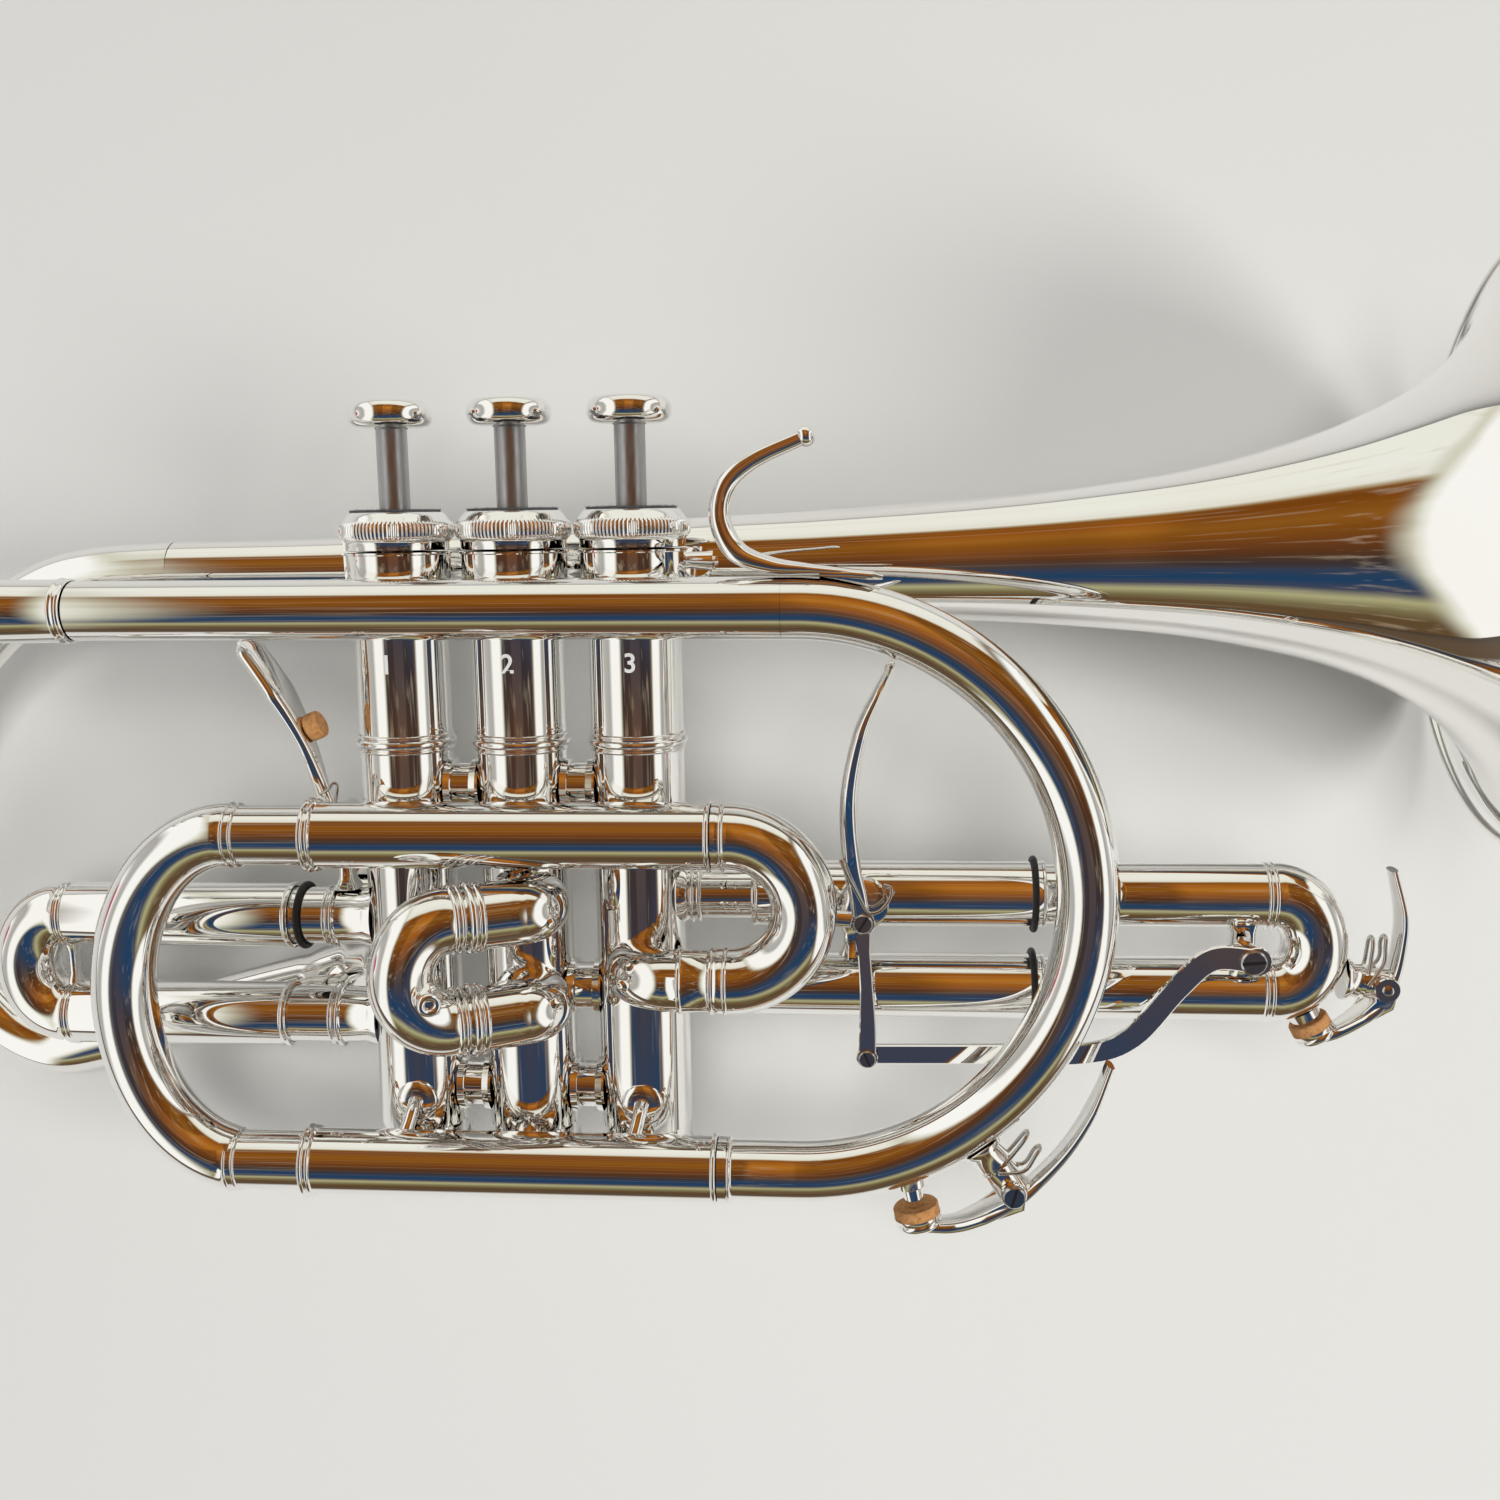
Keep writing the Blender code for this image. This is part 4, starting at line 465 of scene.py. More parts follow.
# ---------------------------------------------------------------- valves
VX = (-PITCH, 0.0, PITCH)
for i, x in enumerate(VX, 1):
    prof = ([(BOTTOM, 9.5), (BOTTOM + 3.6, 9.5), (BOTTOM + 4.0, CASING_R)] + [(0.2, CASING_R)]
        + bead(0.3, 0.9, CASING_R, 0.4)
        + bead(1.3, 2.0, CASING_R + 0.1, 0.8) + bead(3.4, 0.9, CASING_R, 0.4)
        + [(5.0, CASING_R), (34.6, CASING_R)]
        + [(35.4, 10.25), (36.2, 10.75), (37.0, 11.05), (38.4, 11.2), (42.6, 11.3), (42.8, 11.65),
        (43.2, 11.65), (TOP, 11.3)] + [(TOP, 8.7), (BOTTOM, 8.7)])
    turned(f"casing_{i}_v", (x, 0, 0), (0, 1, 0), prof, cad=(f"valve_casing_{i}",), sides=96)
    turned(f"top_cap_{i}_v", (x, 0, 0), (0, 1, 0),
           [(43.6, 10.9), (43.7, 11.25), (45.2, 11.3), (45.7, 11.5), (46.0, 12.0)]
           + [(46.1 + 3.3 * k / 10, 12.0 + 0.45 * math.sin(math.pi * k / 10) ** 0.6) for k in range(11)]
           + [(49.6, 11.7), (49.9, 11.45), (50.5, 11.05), (51.1, 10.55), (51.45, 10.15), (51.6, 9.95),
           (51.55, 9.75), (50.2, 9.75), (50.2, 3.9),
              (48.8, 3.9), (48.8, 9.6), (43.6, 9.6)],
           cad=(f"top_cap_{i}",), knurl=(46.05, 49.45, 0.34, 88, 11.9), sharp=70)
    turned(f"bottom_cap_{i}_v", (x, 0, 0), (0, 1, 0),
           [(CAP_BOTTOM, 1.6), (CAP_BOTTOM + 0.2, 4.0), (CAP_BOTTOM + 0.9, 6.6),
           (CAP_BOTTOM + 2.2, 9.0), (CAP_BOTTOM + 3.0, 9.7),
            (CAP_BOTTOM + 3.4, 10.3), (-90.6, 10.4), (-89.6, 10.4), (-88.9, 10.1), (-88.35, 10.0),
            (-88.35, 9.0), (CAP_BOTTOM + 3.6, 8.9),
            (CAP_BOTTOM + 1.6, 1.6)], cad=(f"bottom_cap_{i}",), knurl=(-94.7, -89.3, 0.3, 56, 10.2), sharp=70)
    rng = np.random.default_rng(i)
    turned(f"cap_felt_{i}_v", (x, 0, 0), (0, 1, 0),
           [(50.4, 3.9), (50.4, 9.5), (51.4, 9.6), (51.9, 9.5), (52.1, 9.1), (52.15, 7.0), (52.15, 3.9)],
           cad=(f"cap_felt_{i}",), mat=FELT, sides=140, sharp=80)
    hair_p, hair_f = [], []
    for _ in range(2200):
        t, r0 = rng.uniform(0, 2 * math.pi), 9.7 * math.sqrt(rng.uniform(0.17, 1))
        base = Vector((x + r0 * math.cos(t), 51.9, r0 * math.sin(t)))
        long = rng.random() < 0.06
        out = Vector((0.5 * math.cos(t), 0.6, 0.5 * math.sin(t))) * (r0 > 8.4) + Vector((0, 0.8, 0))
        out = ((out.normalized()
            + Vector(rng.normal(0, 0.55, 3))).normalized() * rng.uniform(0.25, 0.6) * (2.0 if long else 1.0))
        across = out.cross(Vector(rng.normal(0, 1, 3))).normalized() * (0.02 if long else 0.045)
        k = len(hair_p)
        hair_p += [base - across, base + across, base + out]
        hair_f.append((k, k + 1, k + 2))
    put(f"felt_fibres_{i}", hair_p, hair_f, FELT, ROOT)
    turned(f"stem_{i}_v", (x, 0, 0), (0, 1, 0), [(37.4, 0), (37.4, 3.3), (69.0, 3.3), (69.3, 3.6), (69.7, 0)],
           f"valve_{i}", (f"valve_stem_{i}",), STEEL)
    turned(f"button_{i}_v", (x, 0, 0), (0, 1, 0),
           [(69.3, 0), (69.3, 3.8), (69.35, 6.4), (69.7, 7.7), (70.3, 8.45), (71.1, 8.85), (72.1, 8.98),
           (73.1, 8.85), (73.9, 8.5), (74.5, 7.95),
            (74.85, 7.3), (74.8, 6.6), (74.4, 5.4), (74.1, 3.5), (74.0, 1.5), (74.0, 0)], f"valve_{i}",
            (f"finger_button_{i}",), sides=80, sharp=70)
    turned(f"piston_{i}_v", (x, 0, 0), (0, 1, 0), [(-77.0, 7.3), (-77.0, 8.45), (2.0, 8.45), (4.0, 7.9),
        (35.2, 7.9), (35.2, 3.7), (33.8, 3.7), (33.8, 7.1), (3.0, 7.1)],
           f"valve_{i}", (f"piston_{i}",), STEEL)


def slotted(name, at, axis, r, high, body, turn=20.0, mat=None):
    """A low cheese-head screw with a slot, standing high above at; the slot is a flat black sheet on the
    head, painted shade standing in for the groove's depth.
    """
    at, axis = Vector(at), Vector(axis).normalized()
    turned(name, at, axis, [(0, 0), (0, r), (high * 0.72, r), (high, r * 0.86), (high * 0.99, 0)], body,
        mat=mat or SCREW, sides=40)
    ref = Vector((1, 0, 0)) if abs(axis.x) < 0.8 else Vector((0, 1, 0))
    u = (ref - ref.dot(axis) * axis).normalized()
    v = axis.cross(u)
    c, s_ = math.cos(math.radians(turn)), math.sin(math.radians(turn))
    u, v = u * c + v * s_, v * c - u * s_
    top = at + axis * (high + 0.02)
    q = [top + u * a * r * 0.9 + v * b * r * 0.13 for a, b in ((-1, -1), (1, -1), (1, 1), (-1, 1))]
    # painted shade: a flat black sheet on the head in place of a cut slot
    put(name + "_slot_painted_shade", q, [(0, 1, 2, 3)], RUBBER_AND_PAINTED_SHADE, body, slot="steel")


# links and the tubes soldered to the casings
for name, y, a, b in (("link_a", -7.8, -PITCH, 0), ("link_b", -7.8, 0, PITCH),
    ("link_c", -53.1, 0, PITCH), ("link_d", -75.8, -PITCH, 0),
                      ("link_e", -75.8, 0, PITCH)):
    m = (a + b) / 2
    tube(name, along([(a + 9.0, 5.3), (m - 1.6, 5.3)] + bead(m - 1.5, 3.0, 5.3, 0.0)
        + [(m + 1.6, 5.3), (b - 9.0, 5.3)], y, 0), sides=40)
    tube(name + "_foot_l", along([(a + 9.3, 6.4), (a + 10.7, 6.2), (a + 11.0, 5.4)], y, 0), sides=40,
        wall=0.3)
    tube(name + "_foot_r", along([(b - 11.0, 5.4), (b - 10.7, 6.2), (b - 9.3, 6.4)], y, 0), sides=40,
        wall=0.3)
for y, n_ in ((FIRST_UP, "up"), (FIRST_LOW, "low")):
    prof = ([(-100.0, TUBE), (-45.9, TUBE)] + bead(-45.2, 1.1, TUBE, 0.6) + [(-43.9, TUBE + 0.1)]
        + bead(-43.6, 1.3, TUBE, 0.9) + [(-42.2, TUBE), (-37.0, TUBE), (-35.9, 6.8), (-34.0, 7.2)])
    tube(f"first_inner_{n_}", [((x, y, 0), r, BORE) for x, r in prof], sharp=50)
for y, n_ in ((THIRD_UP, "up"), (THIRD_LOW, "low")):
    prof = ([(34.0, 6.6), (35.6, 6.4)] + bead(36.6, 1.3, 5.6, 1.0) + bead(38.0, 1.3, 5.6, 0.8)
        + [(39.6, 5.6), (52.0, 5.6)])
    tube(f"third_stub_{n_}", [((x, y, 0), r, 5.0) for x, r in prof])

# ---------------------------------------------------------------- first slide
fr, fm = (FIRST_UP - FIRST_LOW) / 2, (FIRST_UP + FIRST_LOW) / 2
pu = (bead(FIRST_OPEN, -1.3, OUT, 0.35) + [(FIRST_OPEN - 1.6, OUT), (FIRST_BOW + 0.2, OUT)]
    + bead(FIRST_BOW, -1.1, OUT - 0.1, 0.4) + bead(FIRST_BOW - 1.2, -1.0, OUT - 0.2, 0.4))
pl = (bead(FIRST_BOW - 2.2, 1.0, OUT - 0.2, 0.4) + bead(FIRST_BOW - 1.1, 1.1, OUT - 0.1, 0.4)
    + [(FIRST_BOW + 0.3, OUT), (FIRST_OPEN - 3.6, OUT)] + bead(FIRST_OPEN - 3.3, 1.3, OUT, 0.35))
st = [((x, FIRST_UP, 0), r, TUBE + 0.08) for x, r in pu]
st += [(p, 6.9, BORE) for p in arc((FIRST_BOW - 2.4, fm, 0), (-9.4, 0, 0), (0, fr, 0), 86, -86, 40)]
st += [((x, FIRST_LOW, 0), r, TUBE + 0.08) for x, r in pl]
tube("first_slide_v", st, "first_slide_body", ("first_slide",), sharp=50)
rod("first_slide_brace", [(FIRST_BOW - 1.0, FIRST_UP - 6.6, 0), (FIRST_BOW - 1.0, fm + 2.4, 0),
    (FIRST_BOW - 1.0, fm - 2.4, 0), (FIRST_BOW - 1.0, FIRST_LOW + 6.6, 0)],
    [(2.2, 1.3), (1.3, 0.85), (1.3, 0.85), (2.2, 1.3)], "first_slide_body", up=(0, 0, 1), square=2.0)
ARM_Y, ARM_Z = FIRST_UP - 3.6, -10.7
rod("first_slide_arm_post", [(-58, ARM_Y, -6.2), (-58, ARM_Y, -11.4)], (1.6, 1.6), "first_slide_body",
    up=(1, 0, 0), square=2.0)
rod("first_slide_arm", [(-59.4, ARM_Y, ARM_Z), (-56, ARM_Y, ARM_Z), (-43, ARM_Y, ARM_Z),
    (-40.0, ARM_Y, ARM_Z)],
    [(0.8, 1.4), (0.8, 1.7), (0.8, 1.7), (0.8, 1.7)], "first_slide_body", square=2.0)

# ---------------------------------------------------------------- third slide
tr, tm = (THIRD_UP - THIRD_LOW) / 2, (THIRD_UP + THIRD_LOW) / 2
for y, n_ in ((THIRD_UP, "up"), (THIRD_LOW, "low")):
    prof = (bead(50.2, 1.2, OUT - 0.2, 0.3) + [(51.8, OUT - 0.1), (THIRD_OPEN - 0.9, OUT - 0.1)]
        + bead(THIRD_OPEN - 0.8, 0.8, OUT - 0.1, 0.2))
    tube(f"third_sleeve_{n_}", [((x, y, 0), r, TUBE + 0.1) for x, r in prof],
        cad=("third_slide_sleeves",) if n_ == "up" else ())
rod("third_sleeve_brace", [(72, THIRD_UP - 6.6, 0), (72, tm + 1.6, 0), (72, tm - 1.6, 0),
    (72, THIRD_LOW + 6.6, 0)],
    [(2.6, 3.4), (1.5, 2.2), (1.5, 2.2), (2.6, 3.4)], square=1.6)
pu = ([(62.0, TUBE), (THIRD_OPEN + 1.9, TUBE)] + bead(THIRD_OPEN + 2.0, 1.1, TUBE + 0.2, 0.45)
    + [(THIRD_OPEN + 3.4, 6.75), (THIRD_BOW - 1.2, 6.75)]
    + bead(THIRD_BOW - 1.1, 1.0, 6.75, 0.45) + bead(THIRD_BOW + 0.2, 1.0, 6.75, 0.45))
st = [((x, THIRD_UP, 0), r, BORE) for x, r in pu]
st += [(p, 6.9, BORE) for p in arc((THIRD_BOW + 1.6, tm, 0), (tr - 1.6, 0, 0), (0, tr, 0), 88, -88, 40)]
st += [((x, THIRD_LOW, 0), r, BORE) for x, r in pu[::-1]]
tube("third_slide_v", st, "third_slide_body", ("third_slide",), sharp=50)
PIN = Vector((154.4, tm - 1.6, 0))
rod("third_slide_brace", [(PIN.x, THIRD_UP - 6.3, 1.4), (PIN.x, tm + 2.6, 2.0), (PIN.x, tm - 2.6, 2.0),
    (PIN.x, THIRD_LOW + 6.3, 1.4)],
    [(2.6, 3.2), (1.6, 2.6), (1.6, 2.6), (2.6, 3.2)], "third_slide_body", square=2.2)
turned("third_slide_post", PIN + Vector((0, 0, 1.5)), (0, 0, 1), [(0, 0), (0, 2.9), (4.6, 2.9),
    (5.4, 2.5), (5.4, 0)], "third_slide_body", sides=40)
# inner ring of the bow
rod("third_bow_web", arc((THIRD_BOW + 1.2, tm, 0), (4.4, 0, 0), (0, 4.4, 0), 84, -84, 20), (1.3, 0.55),
    "third_slide_body", square=1.4)

# ---------------------------------------------------------------- second slide
def sec(s_, y):
    return Vector((SEC_A.x, y, SEC_A.z)) + SEC_DIR * s_


sr, sm = (SEC_UP - SEC_LOW) / 2, (SEC_UP + SEC_LOW) / 2
for y, n_ in ((SEC_UP, "up"), (SEC_LOW, "low")):
    turn_ = spline([(1.6, y, 7.0), (3.6, y, 10.2), (5.2, y, 13.4), (4.6, y, 17.2), tuple(sec(1.2, y)),
        tuple(sec(4.0, y))], 8)
    prof = ([(p, 7.0) for p in turn_] + [(sec(a, y), r) for a, r in [(8.6, 7.0)]
        + bead(9.0, 1.5, 7.0, 0.55) + bead(10.7, 1.7, 7.0, 0.75)])
    tube(f"second_elbow_{n_}", [(p, r, TUBE + 0.1) for p, r in prof], up=(0, 1, 0), sharp=50)
    turned(f"second_foot_{n_}", (1.4, y, 7.4), (0.45, 0, 1), [(0, 0), (0, 8.0), (1.6, 7.9), (2.4, 7.3),
        (2.4, 0)], sides=48)
SB = 14.4
pr = [(3.0, TUBE), (SB - 1.5, TUBE)] + bead(SB - 1.4, 1.3, TUBE, 1.0) + bead(SB, 1.2, 6.8, 0.55)
st = [(sec(a, SEC_UP), r, BORE) for a, r in pr]
st += [(p, 6.85, BORE) for p in arc(sec(SB + 1.3, sm), SEC_DIR * (sr - 0.9), (0, sr, 0), 88, -88, 40)]
st += [(sec(a, SEC_LOW), r, BORE) for a, r in pr[::-1]]
tube("second_slide_v", st, "second_slide_body", ("second_slide",), up=SEC_N, sharp=50)
kn = SEC_N if SEC_N.z > 0 else -SEC_N
ka = sec(SB + sr - 3.2, sm - 3.4) + kn * 4.6
turned("second_slide_knob", ka, kn, [(0, 0), (0, 3.7), (0.7, 3.6), (1.3, 2.9), (2.0, 1.8), (3.2, 1.6),
    (3.6, 2.0), (3.9, 2.4), (4.6, 2.5), (5.3, 2.3), (5.5, 1.7), (5.2, 0.9), (4.4, 0.8), (4.4, 0)],
       "second_slide_body", sides=40, up=(0, 1, 0), sharp=70)

# ---------------------------------------------------------------- rubber rings
for name, x, y, r0 in (("first_ring", -50.6, FIRST_UP, TUBE), ("third_ring_upper", 110.6, THIRD_UP,
    OUT - 0.1),
                       ("third_ring_lower", 110.6, THIRD_LOW, OUT - 0.1)):
    prof = [(0.68 * math.cos(a), r0 + 0.62
        + 0.62 * math.sin(a)) for a in [2 * math.pi * k / 20 for k in range(20)]]
    turned(name + "_v", (x, y, 0), (1, 0, 0), prof[::-1], cad=(name,), mat=RUBBER_AND_PAINTED_SHADE, sharp=80)

# ---------------------------------------------------------------- finger hook, braces
HZ = LEAD_Z
HY = LEAD_Y + TUBE
hook = spline([(72.0, HY + 0.75, HZ), (64.0, HY + 1.45, HZ), (56.0, HY + 2.3, HZ), (49.3, HY + 5.1, HZ),
    (46.2, HY + 11.6, HZ),
               (47.6, HY + 18.2, HZ), (53.0, HY + 22.8, HZ), (62.4, HY + 26.9, HZ)], 10)
rod("pinky_hook_v", hook, [(3.4, 0.6), (3.6, 1.0), (3.4, 1.7), (3.2, 2.25), (3.0, 2.2), (2.6, 2.0),
    (2.2, 1.7), (1.7, 1.5)], cad=("pinky_hook",),
    square=1.35, sides=36, sharp=50)
turned("pinky_ball", (61.6, HY + 26.6, HZ), (0.92, 0.40, 0),
       [(0, 0)] + [(1.9 - 1.9 * math.cos(math.pi * k / 14), 0.2
       + 2.0 * math.sin(math.pi * k / 14)) for k in range(1, 14)] + [(3.9, 0)], sides=40, sharp=80)
rod("pinky_foot", [(78.5, LEAD_Y + 5.9, HZ), (76.5, LEAD_Y + 6.3, HZ), (72.0, LEAD_Y + 6.75, HZ),
    (66.0, LEAD_Y + 6.9, HZ)],
    [(1.0, 0.5), (3.2, 0.9), (3.6, 0.9), (3.4, 0.8)], square=1.5, sides=28)
turned("bell_brace_v", (38.2, 40.2, -9.6), (0, -0.2, -1), [(0, 0), (0, 3.3), (0.8, 3.2), (1.3, 1.9),
    (2.4, 1.9), (2.9, 3.4), (3.4, 3.6), (3.4, 0)], cad=("bell_brace",), sides=40)
rod("bell_brace_arm", [(33.6, 40.2, -7.6), (36.4, 40.4, -9.6), (41.6, 40.2, -9.8)],
    [(1.6, 1.8), (1.8, 1.8), (1.8, 2.2)])
turned("leadpipe_brace_v", (25.8, 33.0, 9.2), (0, 0, 1), [(0, 0), (0, 3.4), (0.9, 3.2), (1.4, 2.2),
    (2.6, 2.4), (3.4, 3.0), (3.4, 0)], cad=("leadpipe_brace",), sides=40)
for i in (1, 3):
    x = VX[i - 1] + (1.4 if i == 1 else 0.4)
    turned(f"lower_brace_{i}_v", (x, -76.8, 9.4), (0, 0, 1), [(0, 0), (0, 4.5), (0.8, 4.5), (1.1, 4.2),
        (1.4, 3.2), (1.5, 2.0), (1.5, 0)], cad=(f"lower_brace_{i}",), sides=48)
    rod(f"lower_brace_{i}_rod",
        spline([(x, -76.8, 10.6), (x - 0.2, -78.0, 12.6), (x - 0.8, -80.6, 14.4),
        (x - 1.5, -83.6, 16.0)], 6), [(1.7, 1.7), (1.5, 1.5), (1.5, 1.5), (1.9, 1.9)], up=(1, 0, 0))

# ---------------------------------------------------------------- triggers
T3 = Vector((74.2, -35.6, 0))
T3L = Vector((75.0, -65.4, 0))
PZ = OUT + 0.3
LZ = PZ + 2.2
turned("third_bracket_v", (T3.x, T3.y + 3.4, PZ - 1.6), (0, 0, 1), [(0, 0), (0, 5.6), (1.9, 5.4),
    (2.3, 4.6), (2.3, 0)], cad=("third_trigger_bracket",), sides=48)
rod("third_bracket_arm", [(T3.x - 9.4, T3.y + 0.8, PZ - 0.2), (T3.x - 8.8, T3.y + 0.6, PZ + 0.2),
    (T3.x, T3.y, PZ + 0.2)], [(1.2, 1.7), (1.5, 1.9), (1.5, 1.9)], square=1.2, sides=28)
lev = spline([(T3L.x, T3L.y - 0.6, LZ), (T3.x + 0.9, -58.0, LZ), (T3.x + 0.7, -50.0, LZ),
    (T3.x + 0.2, -42.0, LZ), (T3.x - 0.2, T3.y, LZ)], 8)
plate("third_lever_low", lev, [1.9, 1.75, 1.4, 1.35, 1.9], 0.8, "third_trigger")
lev = spline([(T3.x - 0.2, T3.y - 1.0, LZ), (T3.x - 1.0, -30.0, LZ + 0.2),
    (T3.x - 2.4, -22.0, LZ + 0.4), (T3.x - 2.8, -8.0, LZ + 1.0), (T3.x - 0.4, 5.0, LZ + 1.0),
              (T3.x + 3.2, 13.4, LZ + 1.0), (T3.x + 5.9, 18.6, LZ + 1.0)], 8)
rod("third_lever_v", lev, [(0.9, 1.9), (1.1, 1.85), (1.8, 1.95), (4.0, 1.9), (5.2, 1.7), (4.6, 1.15),
    (2.2, 0.65)], "third_trigger", ("third_trigger_lever",), square=1.4, sides=36, sharp=50)
turned("third_lever_tip", (T3.x + 5.0, 17.2, LZ + 1.0), (0.45, 0.9, 0), [(0, 0), (0, 0.5), (1.0, 1.0),
    (2.2, 1.0), (2.9, 0.5), (2.9, 0)], "third_trigger", sides=24, sharp=80)
turned("third_lever_boss", T3 + Vector((0, 0, PZ + 0.9)), (0, 0, 1), [(0, 0), (0, 2.6), (2.0, 2.6),
    (2.2, 2.4), (2.2, 0)], "third_trigger", sides=40)
turned("third_lever_low_boss", T3L + Vector((0, 0, LZ - 0.8)), (0, 0, 1), [(0, 0), (0, 2.3), (1.4, 2.3),
    (1.6, 2.1), (1.6, 0)], "third_trigger", sides=40)
slotted("third_lever_screw", T3 + Vector((0, 0, LZ + 0.8)), (0, 0, 1), 2.1, 0.9, "third_trigger", 60)
slotted("third_lever_low_screw", T3L + Vector((0, 0, LZ + 0.8)), (0, 0, 1), 1.9, 0.8, "third_trigger", 115)
KZ = LZ - 2.3
lk = spline([(T3L.x - 1.6, T3L.y, KZ), (100.0, -65.0, KZ), (121.0, -64.6, KZ), (131.0, -60.5, KZ + 0.6),
    (140.0, -49.5, KZ + 1.2), (147.0, PIN.y + 0.4, KZ + 1.6), (156.6, PIN.y, KZ + 1.6)], 8)
plate("third_link_v", lk, [2.1, 2.1, 2.2, 2.4, 2.4, 2.5, 2.6], 0.75, "third_link", ("third_trigger_link",))
turned("third_link_end", PIN + Vector((1.4, 0, KZ + 0.85)), (0, 0, 1), [(0, 0), (0, 3.1), (1.3, 3.1),
    (1.5, 2.9), (1.5, 0)], "third_link", sides=48, sharp=20)
slotted("third_link_screw", PIN + Vector((0.6, 0, KZ + 2.35)), (0, 0, 1), 2.7, 1.0, "third_link", 5)

LEV1 = spline([(T1.x + 0.2, T1.y - 2.0, T1_Z), (T1.x, T1.y, T1_Z), (-42.3, -6.8, 8.4),
    (-45.2, 3.6, 8.4), (-50.0, 13.6, 8.2), (-56.2, 22.8, 8.0), (-57.9, 24.9, 8.0)], 10)
rod("first_lever_v", LEV1, [(0.8, 2.4), (0.8, 2.7), (1.5, 1.7), (3.4, 1.5), (6.0, 2.0), (5.4, 2.0),
    (2.6, 0.8)], "first_trigger", ("first_trigger_lever",),
    square=1.3, sides=36, sharp=50)
turned("first_lever_barrel", T1 + Vector((0, 0, -9.3)), (0, 0, 1), [(0, 0), (0, 2.1), (0.2, 2.2),
    (17.5, 2.2), (17.5, 0)], "first_trigger", sides=40)
LOW1_Z = -8.5
plate("first_lever_low", [(T1.x, T1.y + 1.8, LOW1_Z), (T1.x, -28.0, LOW1_Z),
    (T1.x, FIRST_UP - 5.0, LOW1_Z)], [2.4, 2.0, 2.2], 0.75, "first_trigger")
turned("first_cork_v", (-44.4, 6.0, 8.2), (0.914, 0.40, 0), [(0, 0), (0, 2.7), (0.25, 2.95),
    (1.6, 3.05), (2.9, 2.95), (3.2, 2.65), (3.2, 0)], "first_trigger", ("first_trigger_cork",), CORK,
    sides=40)
turned("first_bracket_v", T1 + Vector((0, 0, -3.0)), (0, 0, 1), [(0, 2.5), (0, 3.9), (0.2, 4.1),
    (5.8, 4.1), (6.0, 3.9), (6.0, 2.5)], cad=("first_trigger_bracket",), sides=48)
rod("first_bracket_foot", [(T1.x, T1.y - 3.4, 0), (T1.x, -24.0, 0), (T1.x, -28.6, 0), (T1.x, -30.9, 0)],
    [(2.8, 1.7), (2.2, 1.4), (2.4, 1.6), (3.6, 2.8)], square=1.8, sides=32)
slotted("first_lever_screw", T1 + Vector((0, 0, 9.1)), (0, 0, 1), 2.3, 0.8, "first_trigger", 35)


